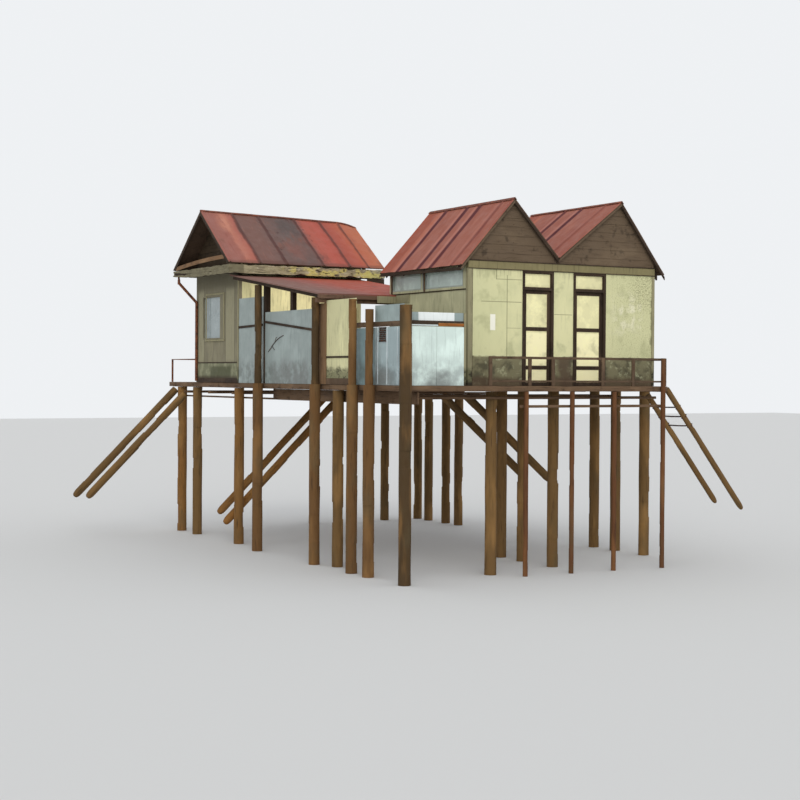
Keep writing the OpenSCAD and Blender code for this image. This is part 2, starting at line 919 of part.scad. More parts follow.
module screen_rails() {
  near = porch_beam_start + post_size;
  low = deck_height + 4 * rail_size;
  high = deck_height + porch_screen_height - screen_rail_drop;
  color(wood_dark) {
    screen_rail(near, inner_post - step, high - rail_fall, high, screen_rail_height);
    screen_rail(inner_post, room_front, high - rail_size, high - rail_size,
      screen_rail_height);
    screen_rail(near, room_front, low, low, rail_size);
    screen_rail(second_post + step, porch_beam_start, low + 4 * rail_size,
      low + 4 * rail_size, rail_size);
  }
}

// Terrace corner
module terrace_screens() {
  top = deck_height + terrace_screen_height;
  color(panel_pale) {
    box([screen_front, screen_front, deck_height], [screen_end, screen_front + screen_thick,
      top]);
    box([edge, screen_front + step, deck_height],
      [edge + screen_thick, second_post + post_radius, top]);
  }
}

module terrace_rails() {
  low = deck_height + terrace_screen_height;
  high = low + terrace_rail_height;
  color(wood_dark) {
    box([screen_front, screen_front, low], [screen_end, screen_front + rail_size, high]);
    box([edge, screen_front + step, low], [edge + rail_size, second_post + post_radius, high]);
  }
}

module terrace_lights() {
  low = deck_height + terrace_screen_height + terrace_rail_height;
  y = screen_front + rail_size / 2;
  color(panel_pale) {
    box([screen_front, y, low], [screen_end, y + screen_thick, low + light_height]);
    box([edge, screen_front + step, low],
      [edge + screen_thick, first_post, low + side_light_height]);
    box([screen_end, screen_front, deck_height],
      [screen_end + rail_size, screen_front + rail_size, low + light_height]);
  }
}

// Right room
module front_wall() {
  color(wall_cream) {
    box([right_left, front_setback, deck_height], [first_frame, wall_back, wall_top]);
    box([first_frame_end, front_setback, deck_height], [second_frame, wall_back, wall_top]);
    box([second_frame_end, front_setback, deck_height], [right_right, wall_back, wall_top]);
  }
}

module right_side_wall(low, high) {
  low_drop = drop(sheet_thick + rafter_height, first_ridge - left_eave,
    first_ridge_z - left_eave_z);
  high_drop = drop(sheet_thick + rafter_height, right_eave - second_ridge,
    second_ridge_z - right_eave_z);
  fall = low < first_ridge ? low_drop : high_drop;
  along_y(wall_back, right_back - wall_thick)
    polygon([
      [low, deck_height],
      [high, deck_height],
      [high, right_roof_z(high) - fall - seat_gap],
      [low, right_roof_z(low) - fall - seat_gap]
    ]);
}

module side_wall_left() {
  color(wall_olive)
    difference() {
      right_side_wall(right_left, right_left + wall_thick);
      box([right_left - overrun, strip_start, strip_bottom],
        [right_left + wall_thick + overrun, strip_split, strip_bottom + strip_height]);
      box([right_left - overrun, strip_split + rim_thick, strip_bottom],
        [right_left + wall_thick + overrun, strip_end, strip_bottom + strip_height]);
    }
}

module side_wall_right() {
  color(wall_olive)
    right_side_wall(right_right - wall_thick, right_right);
}

function right_under(x, run, rise) = right_roof_z(x) - drop(sheet_thick, run, rise)
  - seat_gap;

module rear_wall() {
  color(wall_olive)
    along_y(right_back - wall_thick, right_back)
      polygon(concat([[right_left, deck_height], [right_right, deck_height]], gable_line));
}

module front_gables() {
  color(gable_brown)
    along_y(front_setback + overrun, front_setback + overrun + gable_thick)
      polygon(concat([[right_left, band_top], [right_right, band_top]], gable_line));
}

module front_band() {
  color(wall_olive)
    box([right_left, front_setback - overrun, wall_top], [right_right, wall_back, band_top]);
}

module strip_window_frame() {
  high = strip_bottom + strip_height;
  color(wood_dark) {
    window_frame(strip_start, strip_split, strip_bottom, high, right_left, wall_thick);
    window_frame(strip_split + rim_thick, strip_end, strip_bottom, high, right_left,
      wall_thick);
  }
}

module strip_pane(start, end) {
  box([right_left + rim_thick, start + sash_width, strip_bottom + sash_width],
    [right_left + rim_thick + pane_thick, end - sash_width,
      strip_bottom + strip_height - sash_width]);
}

module strip_window_glass() {
  color(glass_blue) {
    strip_pane(strip_start, strip_split);
    strip_pane(strip_split + rim_thick, strip_end);
  }
}

module hinge_plate(x, side, low, reach) {
  y = wall_back;
  axis_y = y + hinge_radius + hinge_play;
  union() {
    translate([x, axis_y, low])
      cylinder(h = hinge_half, r = hinge_radius);
    box([min(x, x + side * reach), y, low],
      [max(x, x + side * reach), y + plate_thick, low + hinge_half]);
  }
}

module door_frame(start, width, side) {
  end = start + width;
  hinge_x = side > 0 ? start + frame_width : end - frame_width;
  union() {
    difference() {
      box([start, front_setback - overrun, deck_height], [end, wall_back, wall_top]);
      box([start + frame_width, front_setback - 2 * overrun, deck_height - overrun],
        [end - frame_width, wall_back + overrun, head_under]);
      box([start + frame_width, front_setback - 2 * overrun, light_under],
        [end - frame_width, wall_back + overrun, wall_top - frame_width]);
    }
    for (share = hinge_share)
      hinge_plate(hinge_x + side * door_gap / 2, -side,
        deck_height + share * (head_under - deck_height), plate_reach);
  }
}

module door_frames() {
  color(wood_dark) {
    door_frame(first_frame, first_door_width, 1);
    door_frame(second_frame, second_door_width, -1);
  }
}

module top_light(start, width) {
  y = front_setback + wall_thick / 2;
  box([start + frame_width, y, light_under],
    [start + width - frame_width, y + pane_thick, wall_top - frame_width]);
}

module top_light_panes() {
  color(pane_cream) {
    top_light(first_frame, first_door_width);
    top_light(second_frame, second_door_width);
  }
}

function leaf_low(start) = start + frame_width + door_gap;

function leaf_high(start, width) = start + width - frame_width - door_gap;

module door_leaf(start, width, side) {
  low = leaf_low(start);
  high = leaf_high(start, width);
  hinge_x = side > 0 ? low - door_gap / 2 : high + door_gap / 2;
  union() {
    difference() {
      box([low, wall_back - leaf_thick, leaf_bottom], [high, wall_back, leaf_top]);
      for (level = pane_levels)
        box([low + stile_width, wall_back - leaf_thick - overrun, level[0]],
          [high - stile_width, wall_back + overrun, level[1]]);
    }
    for (share = hinge_share)
      hinge_plate(hinge_x, side, deck_height + share * (head_under - deck_height)
        + hinge_half + hinge_lap, plate_reach);
  }
}

module door_panes(start, width) {
  y = wall_back - leaf_thick / 2 - pane_thick / 2;
  for (level = pane_levels)
    box([leaf_low(start) + stile_width, y, level[0]],
      [leaf_high(start, width) - stile_width, y + pane_thick, level[1]]);
}

module left_door() {
  color(wood_dark)
    door_leaf(first_frame, first_door_width, 1);
}

module left_door_panes() {
  color(pane_cream)
    door_panes(first_frame, first_door_width);
}

module right_door() {
  color(wood_dark)
    door_leaf(second_frame, second_door_width, -1);
}

module right_door_panes() {
  color(pane_cream)
    door_panes(second_frame, second_door_width);
}

module right_slab(ridge, ridge_z, eave, eave_z, start, end, raise) {
  fall = drop(sheet_thick, ridge - eave, ridge_z - eave_z);
  along_y(start, end)
    polygon([
      [ridge, ridge_z + raise],
      [eave, eave_z + raise],
      [eave, eave_z - fall],
      [ridge, ridge_z - fall]
    ]);
}

module right_roof(ridge, ridge_z, eave, eave_z) {
  count = floor((verge_back - verge_front - seam_width) / seam_pitch);
  union() {
    right_slab(ridge, ridge_z, eave, eave_z, verge_front, verge_back, 0);
    for (i = [0 : count])
      right_slab(ridge, ridge_z, eave, eave_z, verge_front + i * seam_pitch,
        verge_front + i * seam_pitch + seam_width, seam_height);
  }
}

module roof_left_slopes() {
  color(roof_red) {
    right_roof(first_ridge, first_ridge_z, left_eave, left_eave_z);
    right_roof(second_ridge, second_ridge_z, valley, valley_z);
  }
}

module roof_right_slopes() {
  color(roof_red) {
    right_roof(first_ridge, first_ridge_z, valley, valley_z);
    right_roof(second_ridge, second_ridge_z, right_eave, right_eave_z);
  }
}

module cap(ridge, ridge_z, left_tilt, right_tilt) {
  base = ridge_z + seam_height + seat_gap;
  polygon([
    [ridge - cap_width, base - cap_width * left_tilt],
    [ridge, base],
    [ridge + cap_width, base - cap_width * right_tilt],
    [ridge + cap_width, base - cap_width * right_tilt + 2 * cap_thick],
    [ridge, base + 2 * cap_thick],
    [ridge - cap_width, base - cap_width * left_tilt + 2 * cap_thick]
  ]);
}

module ridge_caps() {
  color(roof_red) {
    along_y(verge_front, verge_back)
      cap(first_ridge, first_ridge_z, first_rise / first_run, inner_rise / inner_run);
    along_y(verge_front, verge_back)
      cap(second_ridge, second_ridge_z, second_rise / second_run, last_rise / last_run);
    along_x(verge_left, verge_right)
      cap(room_middle, left_ridge_z, left_slope, left_slope);
  }
}

module right_rafter(ridge, ridge_z, sheet_eave, sheet_eave_z, y) {
  eave = ridge + rafter_reach_share * (sheet_eave - ridge);
  eave_z = ridge_z + rafter_reach_share * (sheet_eave_z - ridge_z);
  top = drop(sheet_thick, ridge - eave, ridge_z - eave_z) + seat_gap;
  low = drop(sheet_thick + rafter_height, ridge - eave, ridge_z - eave_z);
  along_y(y, y + rafter_width)
    polygon([
      [ridge, ridge_z - top],
      [eave, eave_z - top],
      [eave, eave_z - low],
      [ridge, ridge_z - low]
    ]);
}

module left_rafter(eave, x) {
  end = left_roof_z(eave) - left_seat;
  top = left_ridge_z - left_seat;
  fall = rafter_drop - seat_gap;
  along_x(x, x + rafter_width)
    polygon([
      [eave, end],
      [room_middle, top],
      [room_middle, top - fall],
      [eave, end - fall]
    ]);
}

module left_slope_rafters() {
  color(wood_dark) {
    for (share = rafter_share) {
      y = rafter_first + share * (rafter_last - rafter_first);
      right_rafter(first_ridge, first_ridge_z, left_eave, left_eave_z, y);
      right_rafter(second_ridge, second_ridge_z, valley, valley_z, y);
    }
    for (share = left_rafter_share)
      left_rafter(eave_front + eave_beam_thick,
        left_rafter_first + share * (left_rafter_last - left_rafter_first));
  }
}

module right_slope_rafters() {
  color(wood_dark) {
    for (share = rafter_share) {
      y = rafter_first + share * (rafter_last - rafter_first);
      right_rafter(first_ridge, first_ridge_z, valley, valley_z, y);
      right_rafter(second_ridge, second_ridge_z, right_eave, right_eave_z, y);
    }
    for (share = left_rafter_share)
      left_rafter(eave_back - eave_beam_thick,
        left_rafter_first + share * (left_rafter_last - left_rafter_first));
  }
}

module right_verge(start) {
  along_y(start, start + verge_board_thick)
    union() {
      polygon([
        [left_eave, right_under(left_eave, first_run, first_rise)],
        [first_ridge, right_under(first_ridge, first_run, first_rise)],
        [valley, right_under(valley, inner_run, inner_rise)],
        [second_ridge, right_under(second_ridge, last_run, last_rise)],
        [right_eave, right_under(right_eave, last_run, last_rise)],
        [right_eave, right_under(right_eave, last_run, last_rise) - verge_board_height],
        [second_ridge, right_under(second_ridge, last_run, last_rise) - verge_board_height
          - rim_thick],
        [valley, right_under(valley, inner_run, inner_rise) - verge_board_height],
        [first_ridge, right_under(first_ridge, first_run, first_rise) - verge_board_height],
        [left_eave, right_under(left_eave, first_run, first_rise) - verge_board_height]
      ]);
    }
}

module left_verge(start) {
  run = verge_board_height / left_slope;
  along_x(start, start + verge_board_thick)
    polygon([
      [eave_front, beam_top],
      [room_middle, left_ridge_z - left_seat],
      [eave_back, beam_top],
      [eave_back - run, beam_top],
      [room_middle, left_ridge_z - left_seat - verge_board_height],
      [eave_front + run, beam_top]
    ]);
}

module verge_boards() {
  color(wood_dark) {
    right_verge(verge_front);
    right_verge(verge_back - verge_board_thick);
    left_verge(verge_left);
  }
}

module balcony_railing() {
  start = right_left + 2 * step;
  end = front_length - step;
  y = edge;
  color(wood_tall)
    union() {
      for (share = balcony_post_share)
        box([start + share * (end - start), y, deck_height],
          [start + share * (end - start) + balcony_post_width, y + balcony_post, rail_top]);
      box([start, y, rail_top - balcony_rail_thick],
        [end + balcony_post_width, y + balcony_post, rail_top]);
      box([start, y, deck_height + 2 * balcony_post],
        [end + balcony_post_width, y + balcony_post / 2, deck_height + 3 * balcony_post]);
      box([end, y, rail_top - balcony_rail_thick],
        [end + balcony_post, front_setback, rail_top]);
    }
}

corner_pile();
left_piles();
tall_posts();
middle_piles();
right_piles();
slim_poles();
deck_bearers();
cross_ties();
deck_joists();
deck_floor();
rim_boards();
side_rims();
left_rakers();
inner_rakers();
boat_ladder();
end_wall();
left_front_wall();
left_rear_wall();
left_inner_wall();
end_window_frame();
end_window_pane();
left_gable();
left_roof_front();
left_roof_rear();
eave_beam();
rain_pipe();
rear_railing();
porch_roof();
porch_frame();
porch_screens();
bay_panel();
screen_rails();
terrace_screens();
terrace_rails();
terrace_lights();
front_wall();
side_wall_left();
side_wall_right();
rear_wall();
strip_window_frame();
strip_window_glass();
door_frames();
top_light_panes();
left_door();
left_door_panes();
right_door();
right_door_panes();
front_gables();
front_band();
roof_left_slopes();
roof_right_slopes();
ridge_caps();
left_slope_rafters();
right_slope_rafters();
verge_boards();
balcony_railing();
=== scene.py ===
import math
import random

import bmesh
import bpy
import numpy as np
from mathutils import Matrix, Vector, noise


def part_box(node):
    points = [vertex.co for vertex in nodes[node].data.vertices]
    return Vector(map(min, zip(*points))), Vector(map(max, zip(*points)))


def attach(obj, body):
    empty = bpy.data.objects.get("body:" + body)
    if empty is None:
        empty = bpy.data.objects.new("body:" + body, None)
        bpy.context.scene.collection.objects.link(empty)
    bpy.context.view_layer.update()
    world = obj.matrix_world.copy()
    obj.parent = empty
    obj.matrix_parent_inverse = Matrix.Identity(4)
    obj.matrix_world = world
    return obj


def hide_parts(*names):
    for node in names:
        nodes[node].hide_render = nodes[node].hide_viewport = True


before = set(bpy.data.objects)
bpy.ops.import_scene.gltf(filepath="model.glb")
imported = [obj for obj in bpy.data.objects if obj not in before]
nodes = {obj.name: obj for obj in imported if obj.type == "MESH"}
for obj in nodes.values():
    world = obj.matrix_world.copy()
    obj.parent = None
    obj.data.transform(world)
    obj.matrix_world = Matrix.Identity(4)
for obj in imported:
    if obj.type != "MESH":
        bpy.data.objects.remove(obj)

scene = bpy.context.scene
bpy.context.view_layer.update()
print("frame loaded:", len(nodes), "nodes")

camera = {
    "place": (-19.664, -34.633, 5.235),
    "yaw": 29.39,       # degrees to the right of +Y
    "pitch": -0.855,
    "roll": 0.344,
    "lens": 71.76,
}


def makeCamera(values):
    yaw, pitch, roll = (math.radians(values[k]) for k in ("yaw", "pitch", "roll"))
    look = Vector((math.sin(yaw) * math.cos(pitch), math.cos(yaw) * math.cos(pitch), math.sin(pitch)))
    right = Vector((math.cos(yaw), -math.sin(yaw), 0))
    up = right.cross(look)
    tilted = right * math.cos(roll) + up * math.sin(roll)
    upright = up * math.cos(roll) - right * math.sin(roll)
    turn = Matrix((tilted, upright, -look)).transposed()
    data = bpy.data.cameras.new("camera")
    data.sensor_width = 36
    data.lens = values["lens"]
    data.clip_end = 500
    eye = bpy.data.objects.new("camera", data)
    eye.matrix_world = Matrix.Translation(values["place"]) @ turn.to_4x4()
    scene.collection.objects.link(eye)
    scene.camera = eye


makeCamera(camera)

light = {
    "sky": 0.80,
    "suns": (           # strength, angle, where it comes from
        (1.00, 40, (-0.40, -0.80, 0.46)),
        (0.32, 50, (-0.62, -0.78, 0.04)),
    ),
    "fills": (          # watts, middle, size, where it shines: the wall under the porch roof
        (44.0, (1.9, 8.6, 7.45), (2.4, 0.5), (0.0, 1.0, 0.06)),
    ),
    "sunColour": (1.0, 0.98, 0.94),
    "floorColour": (0.68, 0.68, 0.67),
    "floorHalf": 150,
    "floorDrop": 0.002,
    "skyColour": (0.95, 0.97, 1.0),
    "backColour": (0.86, 0.88, 0.90),
}


def makeStage(values):
    world = bpy.data.worlds.new("sky")
    scene.world = world
    world.use_nodes = True
    tree = world.node_tree
    tree.nodes.clear()
    out = tree.nodes.new("ShaderNodeOutputWorld")
    mix = tree.nodes.new("ShaderNodeMixShader")
    soft = tree.nodes.new("ShaderNodeBackground")
    soft.inputs["Color"].default_value = (*values["skyColour"], 1)
    soft.inputs["Strength"].default_value = values["sky"]
    seen = tree.nodes.new("ShaderNodeBackground")
    seen.inputs["Color"].default_value = (*values["backColour"], 1)
    seen.inputs["Strength"].default_value = 1.0
    path = tree.nodes.new("ShaderNodeLightPath")
    backSeen = path.outputs["Is Camera Ray"]
    for ray in ("Is Glossy Ray", "Is Transmission Ray"):
        either = tree.nodes.new("ShaderNodeMath")
        either.operation = "MAXIMUM"
        tree.links.new(backSeen, either.inputs[0])
        tree.links.new(path.outputs[ray], either.inputs[1])
        backSeen = either.outputs[0]
    tree.links.new(backSeen, mix.inputs[0])
    tree.links.new(soft.outputs[0], mix.inputs[1])
    tree.links.new(seen.outputs[0], mix.inputs[2])
    tree.links.new(mix.outputs[0], out.inputs["Surface"])

    for strength, angle, source in values["suns"]:
        data = bpy.data.lights.new("sun", "SUN")
        data.energy = strength
        data.angle = math.radians(angle)
        data.color = values["sunColour"]
        sun = bpy.data.objects.new("sun", data)
        sun.rotation_mode = "QUATERNION"
        sun.rotation_quaternion = Vector(source).to_track_quat("Z", "Y")
        scene.collection.objects.link(sun)

    for watts, middle, (wide, high), aim in values["fills"]:
        data = bpy.data.lights.new("fill", "AREA")
        data.shape = "RECTANGLE"
        data.size = wide
        data.size_y = high
        data.energy = watts
        fill = bpy.data.objects.new("fill", data)
        fill.location = middle
        fill.visible_camera = False
        fill.visible_glossy = False
        fill.rotation_mode = "QUATERNION"
        fill.rotation_quaternion = (-Vector(aim)).to_track_quat("Z", "Y")
        scene.collection.objects.link(fill)

    mesh = bpy.data.meshes.new("floor")
    build = bmesh.new()
    half, drop = values["floorHalf"], values["floorDrop"]
    corners = ((-half, -half), (half, -half), (half, half), (-half, half))
    build.faces.new([build.verts.new((x, y, -drop)) for x, y in corners])
    build.to_mesh(mesh)
    build.free()
    floor = bpy.data.objects.new("floor", mesh)
    scene.collection.objects.link(floor)
    plain = bpy.data.materials.new("paleFloor")
    plain.use_nodes = True
    shader = plain.node_tree.nodes["Principled BSDF"]
    shader.inputs["Base Color"].default_value = (*values["floorColour"], 1)
    shader.inputs["Roughness"].default_value = 0.95
    mesh.materials.append(plain)
    scene.view_settings.view_transform = "Standard"


makeStage(light)
print("camera and light ready")


def srgb(colour):
    parts = [v / 255 for v in colour]
    return tuple(c / 12.92 if c <= 0.04045 else ((c + 0.055) / 1.055) ** 2.4 for c in parts)


class Finish:
    # one material: a colour, layers laid over it, then roughness and bump
    def __init__(self, name, colour, shine=0.3, grain=None):
        self.material = bpy.data.materials.new(name)
        self.material.use_nodes = True
        self.tree = self.material.node_tree
        self.shader = self.tree.nodes["Principled BSDF"]
        self.shader.inputs["Specular IOR Level"].default_value = shine
        if grain:
            self.place = self.attribute(grain, "Vector")
        else:
            self.place = self.tree.nodes.new("ShaderNodeTexCoord").outputs["Object"]
        split = self.tree.nodes.new("ShaderNodeSeparateXYZ")
        self.tree.links.new(self.place, split.inputs[0])
        self.axes = {"x": split.outputs[0], "y": split.outputs[1], "z": split.outputs[2]}
        self.colour = (*srgb(colour), 1)
        self.height = None

    def attribute(self, name, output):
        node = self.tree.nodes.new("ShaderNodeAttribute")
        node.attribute_name = name
        return node.outputs[output]

    def put(self, socket, value):
        if hasattr(value, "is_linked"):
            self.tree.links.new(value, socket)
        else:
            socket.default_value = value

    def math(self, operation, a, b=0.0, clamp=False):
        node = self.tree.nodes.new("ShaderNodeMath")
        node.operation = operation
        node.use_clamp = clamp
        self.put(node.inputs[0], a)
        self.put(node.inputs[1], b)
        return node.outputs[0]

    def cloud(self, size, stretch=(1, 1, 1), detail=4.0, rough=0.55, shift=0.0):
        spot = self.tree.nodes.new("ShaderNodeMapping")
        self.tree.links.new(self.place, spot.inputs["Vector"])
        spot.inputs["Scale"].default_value = tuple(1 / (size * s) for s in stretch)
        spot.inputs["Location"].default_value = (shift, shift * 0.7, shift * 1.3)
        node = self.tree.nodes.new("ShaderNodeTexNoise")
        node.inputs["Scale"].default_value = 1.0
        node.inputs["Detail"].default_value = detail
        node.inputs["Roughness"].default_value = rough
        self.tree.links.new(spot.outputs[0], node.inputs["Vector"])
        return node.outputs["Fac"]

    def cut(self, value, low, high):
        node = self.tree.nodes.new("ShaderNodeMapRange")
        node.interpolation_type = "SMOOTHSTEP"
        self.put(node.inputs["Value"], value)
        node.inputs["From Min"].default_value = low
        node.inputs["From Max"].default_value = high
        return node.outputs[0]

    def span(self, axis, start, end, soft=0.05, wobble=None):
        value = self.axes[axis]
        if wobble:
            shaken = self.math("MULTIPLY_ADD", wobble[0], wobble[1])
            shaken.node.inputs[2].default_value = -wobble[1] / 2
            value = self.math("ADD", value, shaken)
        rise = self.cut(value, start - soft, start + soft)
        fall = self.cut(value, end + soft, end - soft)
        return self.math("MULTIPLY", rise, fall)

    def both(self, *masks):
        total = masks[0]
        for mask in masks[1:]:
            total = self.math("MULTIPLY", total, mask)
        return total

    def lay(self, colour, mask, amount=1.0):
        if amount != 1.0:
            mask = self.math("MULTIPLY", mask, amount)
        node = self.tree.nodes.new("ShaderNodeMix")
        node.data_type = "RGBA"
        self.put(node.inputs["Factor"], mask)
        self.put(node.inputs[6], self.colour)
        self.put(node.inputs[7], (*srgb(colour), 1))
        self.colour = node.outputs[2]
        return self

    def stripes(self, value, stops):
        node = self.tree.nodes.new("ShaderNodeValToRGB")
        low, high = stops[0][0], stops[-1][0]
        share = self.math("DIVIDE", self.math("SUBTRACT", value, low), high - low)
        self.tree.links.new(share, node.inputs[0])
        ramp = node.color_ramp
        while len(ramp.elements) < len(stops):
            ramp.elements.new(0.5)
        for element, (at, colour) in zip(ramp.elements, stops):
            element.position = (at - low) / (high - low)
            element.color = (*srgb(colour), 1)
        self.colour = node.outputs[0]
        return self

    def grit(self, value, height):
        part = self.math("MULTIPLY", value, height)
        self.height = part if self.height is None else self.math("ADD", self.height, part)
        return self

    def done(self, rough=(0.65, 0.9), size=0.25):
        self.put(self.shader.inputs["Base Color"], self.colour)
        node = self.tree.nodes.new("ShaderNodeMapRange")
        self.tree.links.new(self.cloud(size, detail=3.0, shift=3.7), node.inputs["Value"])
        node.inputs["From Min"].default_value = 0.3
        node.inputs["From Max"].default_value = 0.7
        node.inputs["To Min"].default_value = rough[0]
        node.inputs["To Max"].default_value = rough[1]
        self.tree.links.new(node.outputs[0], self.shader.inputs["Roughness"])
        if self.height is not None:
            bump = self.tree.nodes.new("ShaderNodeBump")
            bump.inputs["Strength"].default_value = 1.0
            bump.inputs["Distance"].default_value = 1.0
            self.tree.links.new(self.height, bump.inputs["Height"])
            self.tree.links.new(bump.outputs[0], self.shader.inputs["Normal"])
        return self.material


timber = {
    "pile": ((110, 84, 50), (68, 51, 31), (144, 110, 66)),
    "tall": ((106, 77, 46), (70, 51, 32), (134, 100, 60)),
    "slim": ((98, 64, 40), (62, 40, 26), (126, 86, 52)),
    "deck": ((104, 82, 62), (68, 52, 40), (134, 108, 82)),
    "dark": ((58, 46, 36), (36, 28, 22), (84, 68, 54)),
    "rail": ((90, 72, 56), (58, 46, 36), (122, 100, 78)),
    "orange": ((150, 92, 44), (104, 60, 28), (186, 126, 62)),
    "post": ((118, 92, 66), (86, 66, 48), (140, 112, 84)),
    "porch": ((110, 86, 70), (80, 60, 48), (134, 106, 86)),
    # painted shade: the porch beam is darker further in, under the porch roof
    "porchShade": ((52, 42, 32), 4.8),      # the colour further in than this y
}


def makeLogWood(name, colours):
    skin = Finish(name, colours[0], shine=0.2, grain="grain")
    streak = skin.cloud(0.05, (1, 1, 14), 5.0, 0.6)
    broad = skin.cloud(0.4, (1, 1, 4), 3.0, 0.5, 5.0)
    fine = skin.cloud(0.012, (1, 1, 24), 3.0, 0.6, 2.0)
    tone = skin.attribute("tone", "Fac")
    skin.lay((176, 112, 42), skin.cut(tone, 0.3, 1.0), 0.8)
    skin.lay((58, 49, 33), skin.cut(tone, 0.0, -1.0), 0.8)
    skin.lay(colours[1], skin.cut(streak, 0.52, 0.74), 0.9)
    skin.lay(colours[2], skin.cut(broad, 0.48, 0.7), 0.75)
    skin.lay((86, 76, 54), skin.cut(skin.cloud(0.7, (1, 1, 2), 4.0, 0.6, 9.0), 0.5, 0.7), 0.45)
    skin.lay((48, 36, 26), skin.cut(fine, 0.62, 0.78), 0.5)
    skin.grit(streak, 0.012).grit(fine, 0.004)
    return skin.done((0.75, 0.95))


def makeSawnWood(name, colours, along, shade=None):
    stretch = {"x": (16, 1, 1), "y": (1, 16, 1), "z": (1, 1, 16)}[along]
    skin = Finish(name, colours[0], shine=0.2)
    streak = skin.cloud(0.035, stretch, 5.0, 0.6)
    broad = skin.cloud(0.5, tuple(s ** 0.4 for s in stretch), 4.0, 0.55, 4.0)
    fine = skin.cloud(0.01, stretch, 2.0, 0.6, 2.0)
    skin.lay(colours[1], skin.cut(streak, 0.5, 0.72))
    skin.lay(colours[2], skin.cut(broad, 0.5, 0.72), 0.7)
    skin.lay(tuple(c * 0.6 for c in colours[1]), skin.cut(skin.cloud(0.25, shift=8.0), 0.56, 0.74), 0.6)
    skin.lay((150, 140, 116), skin.cut(skin.cloud(0.06, stretch, 4.0, 0.7, 11.0), 0.64, 0.76), 0.35)
    if shade:
        # painted shade: darker beyond the given y, where the porch roof shades the beam
        dark, start = shade
        skin.lay(dark, skin.cut(skin.axes["y"], start, start + 0.05), 0.9)
    skin.grit(streak, 0.006).grit(fine, 0.0025)
    return skin.done((0.7, 0.95))


finishes = {}
finishes["pile"] = makeLogWood("pileWood", timber["pile"])
finishes["tall"] = makeLogWood("tallWood", timber["tall"])
finishes["slim"] = makeLogWood("slimWood", timber["slim"])
finishes["postz"] = makeSawnWood("postWood", timber["post"], "z")
finishes["porchBeam"] = makeSawnWood("porchBeamWood", timber["porch"], "x", timber["porchShade"])
for axis in "xyz":
    finishes["deck" + axis] = makeSawnWood("deckWood" + axis.upper(), timber["deck"], axis)
    finishes["dark" + axis] = makeSawnWood("darkWood" + axis.upper(), timber["dark"], axis)
    finishes["rail" + axis] = makeSawnWood("railWood" + axis.upper(), timber["rail"], axis)
finishes["orangex"] = makeSawnWood("orangeWood", timber["orange"], "x")
print("timber finishes ready")

walls = {
    "facade": (204, 203, 158),
    "cream": (214, 208, 158),
    "olive": (182, 179, 144),
    "bay": (206, 202, 158),
    "trim": (144, 138, 108),
    "band": (128, 119, 85),
    "tan": (124, 118, 97),
    "mould": (66, 62, 48),
    "boards": ("y", 0.62, 0.1),     # axis, pitch and shift of the grooves on the tan walls
    "seams": (          # x from and to, z from and to
        (3.455, 3.475, 5.75, 7.92), (2.66, 3.92, 7.205, 7.222), (3.12, 3.92, 7.80, 7.815),
        (3.12, 3.14, 7.80, 8.07), (4.98, 5.56, 6.91, 6.925), (3.45, 3.90, 6.52, 6.53),
    ),
    "paleMark": ((2.94, 3.10), (6.46, 6.88)),
}


def makeFacade(name, values):
    skin = Finish(name, values["facade"], shine=0.3)
    soft = skin.cloud(0.9, (1, 1, 1), 5.0, 0.6)
    speck = skin.cloud(0.035, (1, 1, 1), 5.0, 0.7, 3.0)
    drip = skin.cloud(0.07, (1, 1, 9), 4.0, 0.6, 5.0)
    wave = (soft, 0.7)
    middle = skin.span("x", 3.2, 6.6, 0.9, wave)
    skin.lay((222, 218, 170), skin.both(middle, skin.cut(soft, 0.3, 0.6)), 0.8)
    skin.lay((178, 178, 136), skin.cut(skin.cloud(0.5, shift=12.0), 0.52, 0.7), 0.7)
    flaked = skin.both(skin.span("x", 7.0, 7.9, 0.3, wave), skin.span("z", 6.5, 7.4, 0.3, wave))
    skin.lay((226, 222, 190), skin.both(flaked, skin.cut(skin.cloud(0.22, shift=7.0), 0.45, 0.62)), 0.9)
    skin.lay((164, 162, 124), skin.cut(drip, 0.56, 0.78), 0.4)
    spotted = skin.both(skin.span("x", 7.55, 8.5, 0.25, wave), skin.span("z", 7.2, 8.2, 0.3, wave))
    skin.lay((112, 108, 82), skin.both(spotted, skin.cut(speck, 0.45, 0.64)), 0.75)
    rightPart = skin.span("x", 6.8, 8.5, 0.4, wave)
    skin.lay((136, 132, 100), skin.both(rightPart, skin.cut(speck, 0.5, 0.68)), 0.6)
    topPart = skin.span("z", 7.9, 8.2, 0.08, wave)
    skin.lay((150, 146, 112), skin.both(topPart, skin.cut(drip, 0.42, 0.7)), 0.4)
    skin.lay((112, 108, 80), skin.span("x", 8.26, 8.5, 0.03, wave), 0.7)
    for start, end, low, high in values["seams"]:
        seam = skin.both(skin.span("x", start, end, 0.006), skin.span("z", low, high, 0.006))
        skin.lay((104, 100, 76), seam, 0.75)
    across, up = values["paleMark"]
    skin.lay((240, 238, 222), skin.both(skin.span("x", *across, 0.008), skin.span("z", *up, 0.008)))
    foot = skin.span("z", 4.6, 5.77, 0.03, (skin.cloud(0.18, shift=2.0), 0.1))
    skin.lay((112, 106, 80), foot, 0.92)
    skin.lay(values["mould"], skin.both(foot, skin.cut(skin.cloud(0.28, shift=6.0), 0.46, 0.66)), 0.7)
    crust = skin.cut(skin.cloud(0.13, detail=5.0, shift=13.0), 0.54, 0.7)
    skin.lay((172, 172, 138), skin.both(foot, crust), 0.7)
    skin.lay((84, 66, 50), skin.span("z", 4.6, 5.2, 0.07, (soft, 0.3)), 0.8)
    skin.lay((82, 64, 50), skin.both(skin.span("x", 5.1, 5.5, 0.12, wave), foot), 0.8)
    skin.grit(soft, 0.01).grit(speck, 0.0035)
    return skin.done((0.72, 0.92))


